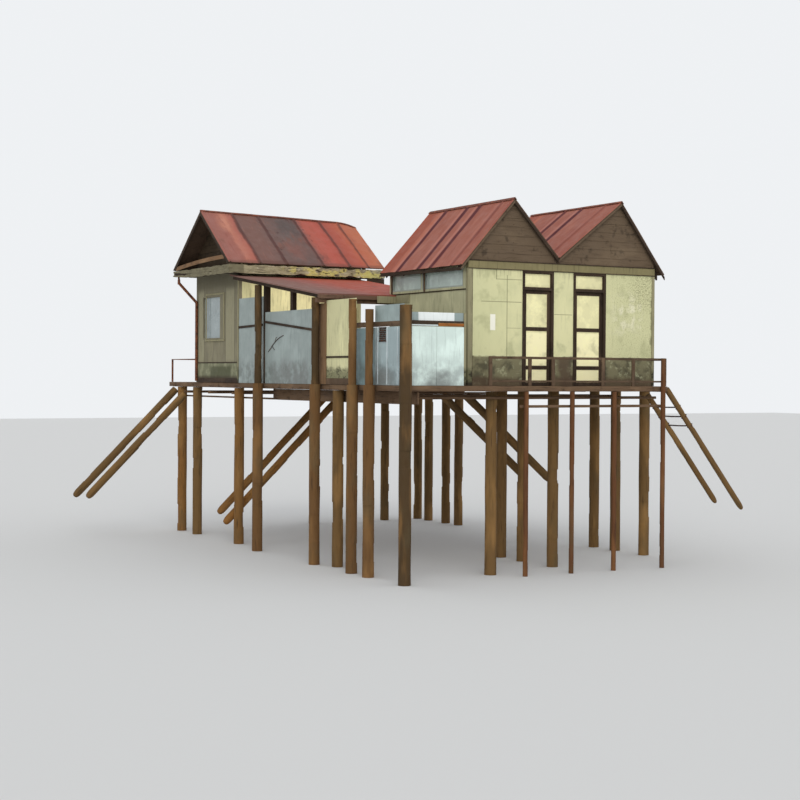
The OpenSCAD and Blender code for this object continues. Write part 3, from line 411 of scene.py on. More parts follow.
def makeWall(name, colour, foot=True, board=None):
    dark = tuple(c * 0.78 for c in colour)
    skin = Finish(name, colour, shine=0.25)
    soft = skin.cloud(0.8, (1, 1, 1.6), 5.0, 0.6)
    drip = skin.cloud(0.06, (1, 1, 10), 4.0, 0.6, 5.0)
    speck = skin.cloud(0.03, (1, 1, 1), 4.0, 0.7, 1.0)
    skin.lay(tuple(min(255, c * 1.12) for c in colour), skin.cut(soft, 0.48, 0.68), 0.8)
    skin.lay(dark, skin.cut(drip, 0.5, 0.72), 0.7)
    skin.lay(tuple(c * 0.7 for c in colour), skin.cut(speck, 0.6, 0.74), 0.5)
    if board:
        axis, pitch, shift = board
        part = skin.math("FRACT", skin.math("DIVIDE", skin.math("ADD", skin.axes[axis], shift), pitch))
        groove = skin.cut(skin.math("ABSOLUTE", skin.math("SUBTRACT", part, 0.5)), 0.47, 0.5)
        skin.lay(tuple(c * 0.5 for c in colour), groove, 0.8)
        skin.grit(groove, -0.006)
    if foot:
        low = skin.span("z", 4.6, 5.42, 0.1, (skin.cloud(0.3, shift=2.0), 0.4))
        skin.lay((92, 92, 66), low, 0.75)
        mould = skin.cut(skin.cloud(0.22, (1, 1, 0.5), shift=6.0), 0.45, 0.62)
        skin.lay((50, 46, 36), skin.both(low, mould), 0.85)
        skin.lay((54, 46, 36), skin.span("z", 4.6, 5.10, 0.05, (skin.cloud(0.15, shift=2.0), 0.1)), 0.9)
    skin.grit(soft, 0.01).grit(speck, 0.003).grit(drip, 0.002)
    return skin.done((0.7, 0.92))


def makeEndWall(name, colour):
    skin = Finish(name, colour, shine=0.25)
    soft = skin.cloud(0.8, (1, 1, 2.2), 5.0, 0.6)
    drip = skin.cloud(0.07, (1, 1, 10), 4.0, 0.6, 5.0)
    skin.lay((148, 142, 116), skin.cut(soft, 0.46, 0.66), 0.6)
    for start, end in ((13.42, 13.89), (10.99, 11.66)):
        strip = skin.both(skin.span("y", start, end, 0.05, (soft, 0.06)), skin.span("z", 5.66, 7.95, 0.1))
        skin.lay((152, 147, 120), strip, 0.75)
    for start, end in ((13.90, 13.94), (13.38, 13.42), (11.66, 11.70), (10.94, 10.98)):
        joint = skin.both(skin.span("y", start, end, 0.02), skin.span("z", 5.62, 8.1, 0.03))
        skin.lay((92, 88, 70), joint, 0.6)
    skin.lay((96, 91, 72), skin.span("z", 7.95, 8.4, 0.14, (soft, 0.2)), 0.6)
    skin.lay((98, 94, 74), skin.cut(drip, 0.54, 0.74), 0.5)
    foot = skin.span("z", 4.6, 5.63, 0.02)
    skin.lay((116, 118, 92), foot, 0.85)
    skin.lay((150, 150, 122), skin.both(foot, skin.cut(skin.cloud(0.25, shift=13.0), 0.5, 0.66)), 0.7)
    moss = skin.both(skin.span("z", 5.12, 5.52, 0.05, (soft, 0.1)),
                     skin.span("y", 11.2, 12.9, 0.15, (soft, 0.4)))
    skin.lay((76, 78, 56), moss, 0.75)
    skin.lay((70, 60, 46), skin.span("z", 4.6, 5.2, 0.06, (soft, 0.15)), 0.85)
    skin.lay((78, 74, 58), skin.cut(skin.cloud(0.03, detail=4.0, shift=1.0), 0.6, 0.74), 0.4)
    skin.grit(soft, 0.01).grit(drip, 0.002)
    return skin.done((0.7, 0.92))


finishes["facade"] = makeFacade("creamFacade", walls)
finishes["cream"] = makeWall("creamWall", walls["cream"])
finishes["olive"] = makeWall("oliveWall", walls["olive"])
finishes["bay"] = makeWall("bayPanel", walls["bay"])
finishes["trim"] = makeWall("trimPaint", walls["trim"])
finishes["band"] = makeWall("bandPaint", walls["band"], foot=False)
finishes["tan"] = makeWall("tanWall", walls["tan"], board=walls["boards"])
finishes["endTan"] = makeEndWall("endWall", walls["tan"])
finishes["gable"] = makeSawnWood("gableWood", ((100, 84, 67), (82, 68, 53), (114, 97, 77)), "x")
finishes["collar"] = makeSawnWood("collarWood", ((126, 96, 68), (92, 68, 48), (150, 120, 88)), "y")
# painted shade: the recessed left gable's boards are their own dark brown, darkened further to the shadow under the
# roof's overhang
finishes["gableInShade"] = makeSawnWood("gableShade", ((60, 48, 34), (40, 31, 22), (78, 62, 44)), "y")
finishes["gableBack"] = makeSawnWood("gablePlate", ((70, 56, 44), (50, 40, 32), (88, 72, 58)), "x")
print("wall finishes ready")


def makeSheet(name, colour, stain, smudge=None):
    skin = Finish(name, colour, shine=0.4)
    soft = skin.cloud(0.7, (1, 1, 1), 4.0, 0.55)
    drip = skin.cloud(0.05, (1, 1, 12), 4.0, 0.6, 5.0)
    speck = skin.cloud(0.02, (1, 1, 1), 3.0, 0.6, 1.0)
    skin.lay(tuple(min(255, c * 1.08) for c in colour), skin.cut(soft, 0.45, 0.65))
    skin.lay(tuple(c * 0.86 for c in colour), skin.cut(drip, 0.5, 0.74), 0.6)
    low = skin.span("z", 4.5, 5.6, 0.22, (skin.cloud(0.5, shift=2.0), 0.5))
    skin.lay(stain, skin.both(low, skin.cut(skin.cloud(0.25, shift=6.0), 0.35, 0.62)), 0.6)
    if smudge:
        axis, start, end, top = smudge
        dirt = skin.both(skin.span(axis, start, end, 0.35, (soft, 0.5)),
                         skin.span("z", 4.5, top, 0.22, (soft, 0.5)))
        broad = skin.cut(skin.cloud(0.4, detail=5.0, shift=9.0), 0.25, 0.6)
        fine = skin.cut(skin.cloud(0.05, detail=5.0, shift=3.0), 0.6, 0.7)
        skin.lay((112, 115, 112), skin.both(dirt, broad), 0.8)
        skin.lay((66, 68, 66), skin.both(dirt, fine), 0.35)
    skin.lay((92, 90, 82), skin.cut(speck, 0.68, 0.76), 0.35)
    skin.grit(soft, 0.008).grit(speck, 0.001)
    return skin.done((0.35, 0.6))


finishes["screen"] = makeSheet("screenSheet", (144, 155, 152), (88, 92, 86), smudge=("y", 5.7, 8.1, 5.6))
finishes["panel"] = makeSheet("palePanel", (208, 224, 217), (150, 160, 158), smudge=("x", 0.5, 1.5, 5.4))
finishes["sidePanel"] = makeSheet("sidePanel", (154, 170, 172), (100, 110, 110), smudge=("y", 0.9, 2.0, 5.4))
finishes["farPanel"] = makeSheet("farPanel", (122, 144, 146), (92, 102, 98))
finishes["light"] = makeSheet("lightStrip", (232, 238, 236), (190, 200, 200))
finishes["rib"] = makeSheet("paleRib", (206, 216, 218), (160, 170, 172))
finishes["paleFrame"] = makeSheet("paleFrame", (150, 158, 150), (120, 128, 120))
finishes["highPanel"] = makeSheet("highPanel", (142, 156, 154), (120, 132, 128))


def makeGlass(name, colour, rough=(0.08, 0.3), shine=0.5, paintedGlow=None):
    skin = Finish(name, colour, shine=shine)
    if paintedGlow:
        # painted light: the lower panes are laid over with a near-white glow
        skin.lay(paintedGlow, skin.span("z", 4.9, 6.42, 0.02), 0.9)
    dust = skin.cloud(0.35, (1, 1, 1), 5.0, 0.65)
    skin.lay(tuple(min(255, c * 1.12) for c in colour), skin.cut(dust, 0.45, 0.68), 0.7)
    skin.lay(tuple(c * 0.8 for c in colour), skin.cut(skin.cloud(0.5, shift=5.0), 0.52, 0.72), 0.6)
    skin.grit(skin.cloud(0.4, shift=4.0), 0.002)
    return skin.done(rough, 0.4)


# painted reflection: the opaque panes carry the pale grey-blue of the sky they reflect
finishes["glass"] = makeGlass("windowGlass", (184, 198, 190))
finishes["endGlass"] = makeGlass("endGlass", (142, 153, 153))
finishes["doorPane"] = makeGlass("creamPane", (228, 222, 172), (0.3, 0.55), 0.4, (254, 246, 196))


def makeRust(name, colour):
    skin = Finish(name, colour, shine=0.3)
    skin.lay((70, 40, 26), skin.cut(skin.cloud(0.09, detail=5.0), 0.46, 0.62))
    skin.lay((158, 92, 48), skin.cut(skin.cloud(0.05, detail=5.0, shift=4.0), 0.56, 0.7), 0.8)
    skin.grit(skin.cloud(0.02, detail=4.0), 0.003)
    return skin.done((0.6, 0.9), 0.08)


finishes["rust"] = makeRust("rustedPipe", (110, 64, 38))
finishes["iron"] = makeRust("ironNail", (74, 54, 44))
finishes["hinge"] = makeRust("hingeIron", (60, 52, 46))
finishes["rung"] = makeRust("rungSteel", (52, 50, 58))
print("sheet, glass and metal finishes ready")


roofPaint = {
    "patches": (        # along, down, colour
        ((1.95, 2.85), (0.15, 1.1), (80, 72, 70)), ((1.85, 2.4), (1.6, 2.7), (130, 84, 74)),
        ((2.65, 3.1), (2.2, 3.0), (92, 62, 56)), ((0.0, 0.3), (0.2, 1.1), (196, 134, 110)),
    ),
    # dark lines along the left roof's folds: lap seams, darkened further by the painted shade of each fold
    "seams": ((0.52, 0.64), (1.42, 1.54), (2.70, 2.80), (3.62, 3.73), (4.30, 4.38)),
    # painted shade along the folds of the right roofs: from, to and strength of each dark band
    "nearFoldShades": ((3.93, 4.12, 1.0), (2.78, 2.98, 1.0), (2.12, 2.32, 0.95), (1.05, 1.2, 0.45)),
    "farFoldShades": ((3.1, 3.28, 0.9), (2.3, 2.48, 1.0), (1.2, 1.35, 0.35)),
    "boards": ((84, 66, 52), (56, 44, 34), (104, 84, 66)),
}


def makeRoofLeft(name, values):
    # along is x in metres, down is metres below the ridge
    skin = Finish(name, (170, 90, 75), shine=0.3, grain="sheet")
    warp = skin.cloud(0.6, (1, 2, 1), 5.0, 0.65)
    streak = skin.cloud(0.05, (1, 14, 1), 4.0, 0.6, 3.0)
    blotch = skin.cloud(0.35, (1, 2, 1), 5.0, 0.65, 6.0)
    speck = skin.cloud(0.03, (1, 1, 1), 4.0, 0.7, 2.0)
    along = skin.math("ADD", skin.axes["x"], skin.math("MULTIPLY", skin.math("SUBTRACT", warp, 0.5), 0.5))
    skin.stripes(along, (
        (-0.6, (148, 88, 76)), (-0.3, (150, 98, 88)), (0.1, (152, 94, 82)), (0.2, (176, 112, 94)),
        (0.5, (164, 96, 82)), (0.6, (116, 84, 76)), (1.1, (118, 86, 78)), (1.6, (108, 84, 78)),
        (2.3, (100, 84, 80)), (2.66, (108, 80, 74)), (2.98, (168, 88, 74)), (3.4, (174, 86, 72)),
        (3.7, (158, 80, 66)), (4.1, (170, 86, 68)), (4.4, (176, 98, 72)), (4.95, (182, 108, 78))))
    skin.lay((128, 80, 66), skin.cut(blotch, 0.54, 0.72), 0.6)
    skin.lay((196, 128, 104), skin.cut(streak, 0.58, 0.76), 0.35)
    skin.lay((74, 48, 44), skin.both(skin.cut(skin.cloud(0.2, (1, 1.6, 1), 5.0, 0.65, 9.0), 0.56, 0.68),
             skin.span("x", 1.3, 3.0, 0.3)), 0.75)
    skin.lay((120, 44, 40), skin.cut(skin.cloud(0.12, (1, 8, 1), 4.0, 0.6, 12.0), 0.6, 0.76), 0.4)
    for (left, right), (top, foot), tone in values["patches"]:
        patch = skin.both(skin.span("x", left, right, 0.14, (warp, 0.5)),
                          skin.span("y", top, foot, 0.25, (warp, 0.6)))
        skin.lay(tone, skin.both(patch, skin.cut(blotch, 0.36, 0.54)), 0.65)
    # the lap seams, with the painted shade of each fold
    for start, end in values["seams"]:
        skin.lay((78, 46, 42), skin.span("x", start, end, 0.035, (warp, 0.16)), 0.75)
    skin.lay((178, 100, 62), skin.span("y", -0.3, 0.06, 0.04, (warp, 0.1)), 0.45)
    skin.lay((92, 60, 50), skin.span("y", 2.75, 3.2, 0.07, (warp, 0.3)), 0.5)
    skin.grit(streak, 0.003).grit(speck, 0.0015).grit(blotch, 0.004)
    return skin.done((0.55, 0.85))


def makeRoofRight(name, foldShades):
    # along is y in metres, down is metres below the ridge
    skin = Finish(name, (152, 90, 74), shine=0.3, grain="sheet")
    warp = skin.cloud(0.5, (1, 2, 1), 4.0, 0.6)
    streak = skin.cloud(0.05, (1, 14, 1), 4.0, 0.6, 3.0)
    blotch = skin.cloud(0.35, (1, 2, 1), 5.0, 0.65, 6.0)
    speck = skin.cloud(0.03, (1, 1, 1), 4.0, 0.7, 2.0)
    skin.lay((166, 106, 88), skin.cut(blotch, 0.5, 0.7), 0.7)
    skin.lay((134, 72, 60), skin.cut(skin.cloud(0.3, (1, 5, 1), 4.0, 0.6, 9.0), 0.5, 0.7), 0.7)
    for start, end, depth in foldShades:
        # painted highlight beside each fold, then the fold's painted shadow
        skin.lay((190, 124, 108), skin.span("x", end + 0.02, end + 0.16, 0.05, (warp, 0.06)), 0.5 * depth)
        skin.lay((84, 38, 42), skin.span("x", start, end, 0.03, (warp, 0.05)), depth)
    skin.lay((150, 72, 50), skin.span("x", 4.45, 5.3, 0.1, (warp, 0.15)), 0.7)
    skin.lay((186, 104, 74), skin.span("x", 4.25, 4.42, 0.05, (warp, 0.1)), 0.5)
    skin.lay((170, 92, 66), skin.span("y", -0.3, 0.08, 0.04, (warp, 0.2)), 0.4)
    skin.lay((196, 128, 108), skin.cut(streak, 0.6, 0.78), 0.3)
    skin.lay((104, 58, 54), skin.cut(speck, 0.62, 0.74), 0.35)
    skin.grit(streak, 0.003).grit(speck, 0.0015).grit(blotch, 0.004)
    return skin.done((0.55, 0.85))


def makePorchSheet(name):
    skin = Finish(name, (160, 78, 68), shine=0.3)
    soft = skin.cloud(0.6, (1, 2, 1), 4.0, 0.6)
    skin.stripes(skin.math("ADD", skin.axes["x"], skin.math("MULTIPLY", soft, 0.5)), (
        (-0.1, (124, 92, 82)), (1.0, (132, 90, 80)), (1.7, (148, 84, 74)), (2.2, (164, 76, 58)),
        (4.6, (168, 78, 60))))
    skin.lay((118, 84, 76), skin.cut(skin.cloud(0.3, (1, 3, 1), 5.0, 0.65, 6.0), 0.54, 0.7), 0.6)
    skin.lay((186, 104, 88), skin.cut(skin.cloud(0.05, (1, 14, 1), 4.0, 0.6, 3.0), 0.58, 0.76), 0.4)
    skin.lay((104, 70, 60), skin.span("y", 4.3, 4.55, 0.03, (soft, 0.06)), 0.5)
    skin.grit(soft, 0.004)
    return skin.done((0.55, 0.85))


def makeCapSheet(name):
    skin = Finish(name, (112, 64, 50), shine=0.3)
    skin.lay((146, 82, 56), skin.cut(skin.cloud(0.2, detail=5.0), 0.48, 0.64), 0.7)
    skin.lay((84, 50, 42), skin.cut(skin.cloud(0.12, detail=5.0, shift=4.0), 0.5, 0.66), 0.8)
    skin.grit(skin.cloud(0.03, detail=4.0), 0.002)
    return skin.done((0.6, 0.9), 0.08)


finishes["roofLeft"] = makeRoofLeft("fadedSheetLong", roofPaint)
finishes["roofRight"] = makeRoofRight("fadedSheet", roofPaint["nearFoldShades"])
finishes["roofFar"] = makeRoofRight("fadedSheetFar", roofPaint["farFoldShades"])
finishes["roofUnder"] = makeSawnWood("roofBoards", roofPaint["boards"], "y")
finishes["porchSheet"] = makePorchSheet("porchSheet")
finishes["capSheet"] = makeCapSheet("capSheet")
print("roof finishes ready")


def makePiece(name, build, skins, body="house", stands=(), soften=None):
    bmesh.ops.recalc_face_normals(build, faces=build.faces)
    mesh = bpy.data.meshes.new(name)
    build.to_mesh(mesh)
    build.free()
    for skin in skins:
        mesh.materials.append(finishes[skin])
    placePiece(name, mesh, body, stands, soften)


def placePiece(name, mesh, body, stands, soften):
    made = bpy.data.objects.new(name, mesh)
    scene.collection.objects.link(made)
    if soften:
        mesh.shade_smooth()
        mesh.set_sharp_from_angle(angle=math.radians(soften))
    if stands:
        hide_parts(*stands)
    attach(made, body)


def islands(node):
    # the separate solids of a node, each as an array of its points
    mesh = nodes[node].data
    spots = {}
    lead = []
    for v in mesh.vertices:
        key = tuple(round(c, 4) for c in v.co)
        lead.append(spots.setdefault(key, v.index))
    parent = list(range(len(mesh.vertices)))

    def root(i):
        while parent[i] != i:
            parent[i] = parent[parent[i]]
            i = parent[i]
        return i

    for i, j in enumerate(lead):
        parent[root(i)] = root(j)
    for edge in mesh.edges:
        parent[root(edge.vertices[0])] = root(edge.vertices[1])
    groups = {}
    for v in mesh.vertices:
        groups.setdefault(root(v.index), []).append(tuple(v.co))
    found = [np.array(points) for points in groups.values()]
    found.sort(key=lambda p: tuple(np.round(p.mean(0), 3)))
    return found


def rods(node):
    # (low end, high end, radius) of every round pole in a node
    found = []
    for points in islands(node):
        middle = (points.min(0) + points.max(0)) / 2
        spread = points - points.mean(0)
        axis = np.linalg.svd(spread, full_matrices=False)[2][0]
        axis = axis if axis[2] > 0 else -axis
        along = (points - middle) @ axis
        lowEnd = np.unique(np.round(points[along < 0], 4), axis=0)
        highEnd = np.unique(np.round(points[along >= 0], 4), axis=0)
        start = (lowEnd.min(0) + lowEnd.max(0)) / 2
        end = (highEnd.min(0) + highEnd.max(0)) / 2
        line = (end - start) / np.linalg.norm(end - start)
        off = lowEnd - start
        radius = np.linalg.norm(off - np.outer(off @ line, line), axis=1).max()
        found.append((Vector(start), Vector(end), float(radius)))
    return found


def steppedPosts(node):
    # a tall post is a stout pile up to the deck and a slimmer post over it
    found = []
    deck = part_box("deck_floor")[1].z
    for points in islands(node):
        x, y = (points.min(0) + points.max(0))[:2] / 2
        top = points[:, 2].max()
        head = points[points[:, 2] > top - 0.002]
        size = float(np.ptp(points[:, 0])) / 2
        slim = float(np.ptp(head[:, 0])) / 2
        found.append((Vector((x, y, 0)), Vector((x, y, deck)), size))
        found.append((Vector((x, y, deck - 0.03)), Vector((x, y, top)), slim))
    return found


def capRings(build, rings, skin=0):
    loops = [[build.verts.new(p) for p in ring] for ring in rings]
    count = len(loops[0])
    faces = []
    for a, b in zip(loops, loops[1:]):
        for i in range(count):
            j = (i + 1) % count
            faces.append(build.faces.new((a[i], a[j], b[j], b[i])))
    faces.append(build.faces.new(list(reversed(loops[0]))))
    faces.append(build.faces.new(loops[-1]))
    for face in faces:
        face.material_index = skin
    return loops


def around(side, other, index, count):
    # the direction at one of the points round a circle
    turn = math.tau * index / count
    return side * math.cos(turn) + other * math.sin(turn)


logs = {
    "sides": 22,
    "step": 0.09,
    "lumps": 0.05,      # this and the next four as shares of the radius
    "sway": 0.045,
    "knots": 0.028,
    "cutDepth": 0.16,
    "tipSize": 0.42,
    "cutCount": 4,
    "cutLong": (0.15, 0.9),
    "cutEdge": 0.012,
    "tipLong": 0.24,
    "tipStep": 0.03,
    "tones": {          # over 0 more orange, under 0 darker
        "left_piles": (0.0, 0.5, 0.0, 0.55), "inner_rakers": (0.6, 0.55, 0.25, 0.2),
        "corner_pile": (-0.8,), "tall_posts": (0.0, 0.1, 0.0, 0.1, 0.0, -0.9, 0.0, -0.9),
        "left_rakers": (-0.3, 0.2),
    },
}


def addLog(build, low, high, radius, seed, tone=0.0, pointed=False):
    rand = random.Random(seed)
    grain = build.verts.layers.float_vector.get("grain") or build.verts.layers.float_vector.new("grain")
    shade = build.verts.layers.float.get("tone") or build.verts.layers.float.new("tone")
    line = high - low
    length = line.length
    line.normalize()
    side = Vector((1, 0, 0)) if abs(line.x) < 0.9 else Vector((0, 1, 0))
    side = (side - line * side.dot(line)).normalized()
    other = line.cross(side)
    cuts = []
    for _ in range(logs["cutCount"]):
        start = rand.uniform(0.05, 0.9) * length
        cuts.append((start, start + rand.uniform(*logs["cutLong"]), rand.uniform(0, math.tau),
                     rand.uniform(0.4, 1.0)))
    levels = []
    at = 0.0
    while at < length:
        levels.append(at)
        at += logs["tipStep"] if pointed and at < 0.3 else logs["step"]
    levels.append(length)
    for start, end, _, _ in cuts:
        edge = logs["cutEdge"]
        levels += [v for v in (start - edge, start + edge, end - edge, end + edge)
                   if 0.02 < v < length - 0.02]
    levels = sorted(set(round(v, 4) for v in levels))
    sides = logs["sides"]
    rings = []
    for along in levels:
        slow = along * 0.45
        sway = Vector((noise.noise((slow, seed, 1.0)), noise.noise((slow, seed, 7.0)))) * logs["sway"]
        size = 1 - 0.5 * logs["lumps"] - sway.length
        size += 0.5 * logs["lumps"] * noise.noise((along * 1.1, seed * 1.7, 3.0))
        if pointed and along < logs["tipLong"]:
            share = along / logs["tipLong"]
            size *= logs["tipSize"] + 0.58 * math.sqrt(max(0.0, 1 - (1 - share) ** 2))
        middle = low + line * along + (side * sway.x + other * sway.y) * radius
        ring = []
        for k in range(sides):
            turn = math.tau * k / sides
            spot = (math.cos(turn) * 1.6 + seed, math.sin(turn) * 1.6, along * 1.4)
            out = size + logs["knots"] * noise.noise(spot) - logs["knots"]
            for start, end, facing, deep in cuts:
                if start <= along <= end:
                    out -= logs["cutDepth"] * deep * max(0.0, math.cos(turn - facing)) ** 0.7
            out = min(out, 1.0 - sway.length)
            ring.append(middle + (side * math.cos(turn) + other * math.sin(turn)) * radius * out)
        rings.append(ring)
    loops = capRings(build, rings)
    for loop, along in zip(loops, levels):
        for k, vert in enumerate(loop):
            turn = math.tau * k / sides
            vert[grain] = (math.cos(turn) * radius + seed * 3.1, math.sin(turn) * radius, along + seed * 1.9)
            vert[shade] = tone


def makeLogs(values):
    seed = 1
    plan = (
        ("corner_pile", "cornerLog", "tall", "tall_wood"),
        ("left_piles", "leftLogs", "pile", "pile_wood"),
        ("tall_posts", "tallLogs", "tall", "tall_wood"),
        ("middle_piles", "middleLogs", "pile", "pile_wood"),
        ("right_piles", "rightLogs", "pile", "pile_wood"),
        ("slim_poles", "slimLogs", "slim", "pile_wood"),
        ("left_rakers", "leftRakingLogs", "pile", "pile_wood"),
        ("inner_rakers", "innerRakingLogs", "pile", "pile_wood"),
    )
    for node, name, skin, slot in plan:
        build = bmesh.new()
        tones = values["tones"].get(node, (0,))
        found = steppedPosts(node) if node == "tall_posts" else rods(node)
        for index, (low, high, radius) in enumerate(found):
            seed += 1
            addLog(build, low, high, radius, seed, tones[index % len(tones)], "rakers" in node)
        makePiece(name, build, (skin,), stands=(node,), soften=50)


makeLogs(logs)
print("poles and piles done")

ladder = {
    "near": ((8.402, 0.240, 4.99), (11.25, 0.240, 1.452)),
    "far": ((8.402, 1.075, 4.815), (11.0, 1.075, 1.583)),
    "radius": 0.084,
    "start": (8.4, 5.0),        # the rim's edge and the deck's top
    "steepness": 1.245,
    "firstRung": 0.58,
    "rungPitch": 0.26,
    "rungs": 3,
    "rungEnds": (0.165, 1.15),
    "rungRadius": 0.020,
    "rungSag": 0.012,
    "offset": 0.18,             # the far pole lies this much lower
    "tieHalf": (0.030, 0.092),
    "tieRadius": 0.007,
    "tiePitch": 0.016,
}


def makeLadder(values):
    build = bmesh.new()
    for seed, key in ((41, "near"), (42, "far")):
        top, tip = (Vector(p) for p in values[key])
        line = (tip - top).normalized()
        addLog(build, tip - line * 0.06, top + line * 0.085, values["radius"], seed, 0.35, True)
    makePiece("ladderPoles", build, ("pile",), stands=("boat_ladder",), soften=50)
    build = bmesh.new()
    edge, deck = values["start"]
    first, last = values["rungEnds"]
    right, up = Vector((1, 0, 0)), Vector((0, 0, 1))
    for index in range(values["rungs"]):
        drop = values["firstRung"] + index * values["rungPitch"]
        a = Vector((edge + drop / values["steepness"], first, deck - drop))
        b = Vector((edge + (drop - values["offset"]) / values["steepness"], last, deck - drop))
        rings = []
        for k in range(13):
            at = a.lerp(b, k / 12)
            at.z -= values["rungSag"] * math.sin(math.pi * k / 12)
            thick = values["rungRadius"] * (1 + 0.12 * noise.noise((k * 0.7, index, 3.0)))
            rings.append([at + around(right, up, j, 10) * thick for j in range(10)])
        capRings(build, rings)
        for key, lower in (("near", 0), ("far", values["offset"])):
            x = edge + (drop - lower) / values["steepness"]
            addTie(build, Vector((x, values[key][0][1], deck - drop)), values)
    makePiece("ladderRungs", build, ("rung",), soften=60)


def addTie(build, at, values):
    # a lashing of three turns round pole and rung
    down = Vector((1, 0, -values["steepness"])).normalized()
    side = Vector((0, 1, 0))
    out = down.cross(side)
    thin, wide = values["tieHalf"]
    for turn in (-1, 0, 1):
        rings = []
        middle = at + side * turn * values["tiePitch"]
        for k in range(17):
            angle = math.tau * k / 16
            spot = middle + (down * math.cos(angle) * thin + out * math.sin(angle) * wide)
            ahead = (down * -math.sin(angle) * thin + out * math.cos(angle) * wide).normalized()
            cross = ahead.cross(side)
            rings.append([spot + around(side, cross, j, 6) * values["tieRadius"] for j in range(6)])
        capRings(build, rings)


makeLadder(ladder)
print("ladder done")


def addRough(build, low, high, seed, cell, depth, skin=0):
    # a timber or slab whose faces are worn inwards a little, its edges a little more
    low, high = Vector(low), Vector(high)
    size = high - low
    counts = [max(2, min(90, int(round(s / cell)) + 1)) for s in size]
    stops = []
    for a in range(3):
        inner = [k / (counts[a] - 1) for k in range(counts[a])]
        edge = min(0.3, 0.012 / max(size[a], 1e-6))
        line = sorted(set([0.0, edge] + [v for v in inner if edge < v < 1 - edge] + [1 - edge, 1.0]))
        stops.append(line)
    made = {}

    def vert(i, j, k):
        key = (i, j, k)
        if key in made:
            return made[key]
        share = Vector((stops[0][i], stops[1][j], stops[2][k]))
        spot = Vector(low[a] + size[a] * share[a] for a in range(3))
        ends = [(index in (0, len(stops[a]) - 1)) for a, index in enumerate(key)]
        touching = sum(ends)
        for a in range(3):
            if ends[a]:
                inward = 1 if key[a] == 0 else -1
                value = 0.5 + 0.5 * noise.noise(spot * 2.3 + Vector((seed, seed * 0.7, a * 3.1)))
                fine = 0.5 + 0.5 * noise.noise(spot * 9.0 + Vector((seed * 1.3, a, seed)))
                amount = depth * (0.55 * value + 0.45 * fine)
                if touching > 1:
                    chipped = noise.noise(spot * 5.0 + Vector((a, seed, 2.0)))
                    amount += depth * (0.35 + 0.8 * max(0, chipped))
                spot[a] += inward * min(amount, size[a] * 0.3)
        made[key] = build.verts.new(spot)
        return made[key]

    last = [len(s) - 1 for s in stops]
    for a in range(3):
        b, c = (a + 1) % 3, (a + 2) % 3
        for end in (0, last[a]):
            for i in range(last[b]):
                for j in range(last[c]):
                    corners = []
                    for di, dj in ((0, 0), (1, 0), (1, 1), (0, 1)):
                        key = [0, 0, 0]
                        key[a], key[b], key[c] = end, i + di, j + dj
                        corners.append(vert(*key))
                    face = build.faces.new(corners)
                    face.material_index = skin


def boxesOf(node):
    return [(Vector(p.min(0)), Vector(p.max(0))) for p in islands(node)]


def makeRoughNode(node, name, seed, cell, depth):
    # every solid of the node is a plain timber: each becomes a worn one
    build = bmesh.new()
    for index, (low, high) in enumerate(boxesOf(node)):
        size = high - low
        axis = max(range(3), key=lambda a: size[a])
        addRough(build, low, high, seed + index * 1.7, cell, depth, axis)
    makePiece(name, build, ("deckx", "decky", "deckz"), stands=(node,), soften=40)


makeRoughNode("deck_bearers", "wornBearers", 3, 0.4, 0.008)
makeRoughNode("deck_joists", "wornJoists", 7, 0.4, 0.006)
makeRoughNode("rim_boards", "wornRims", 9, 0.18, 0.008)
makeRoughNode("side_rims", "wornSideRims", 11, 0.18, 0.008)

terraceRails = {
    "paleHigh": 0.3,    # the pale strip's height as a share of the rail's
    "newHigh": 0.6,     # and the newer board's beside it
    "newFrom": 0.54,    # where that board starts, as a share of the length
}


def makeTerraceRails(values):
    build = bmesh.new()
    for index, (low, high) in enumerate(boxesOf("terrace_rails")):
        if high.x - low.x < high.y - low.y:
            addRough(build, low, high, index + 13, 0.12, 0.006, 0)
            continue
        pale, newer = (low.z + values[k] * (high.z - low.z) for k in ("paleHigh", "newHigh"))
        middle = low.x + values["newFrom"] * (high.x - low.x)
        addRough(build, (low.x, low.y, pale), (middle, high.y, high.z), index + 17, 0.12, 0.006, 1)
        addRough(build, (middle, low.y, newer), high, index + 18, 0.12, 0.006, 1)
        addRough(build, (low.x, low.y + 0.01, low.z), (middle, high.y, pale), index + 19, 0.1, 0.006, 2)
        addRough(build, (middle, low.y, low.z), (high.x, high.y, newer), index + 23, 0.1, 0.006, 3)
    makePiece("wornTerraceRails", build, ("raily", "darkx", "rib", "orangex"), stands=("terrace_rails",),
              soften=40)


makeTerraceRails(terraceRails)

ties = {
    "lines": (0.610, 1.030, 4.364, 5.425, 11.114, 13.015, 15.095, 15.865),
    "high": (4.64, 4.72),
    "wide": 0.09,
    "inner": 0.510,     # they start at the edge beam, behind the inner post at the rim
    "outer": 0.120,
    "innerPost": 8.83,
    "walkStart": 2.6,       # nearer the front than this they end at the front deck's rim
    "rim": 8.4,
    "lowFrom": 3.4594,      # the low tie behind the front poles
    "lowTo": 8.25,
    "lowAcross": (0.2202, 0.2802),
    "lowHigh": (4.42, 4.5),
    "beamWide": 0.06,
    "beamFrom": 0.1802,
    "beamHigh": (4.51, 4.84),
    "beamRearTop": 4.57,
}


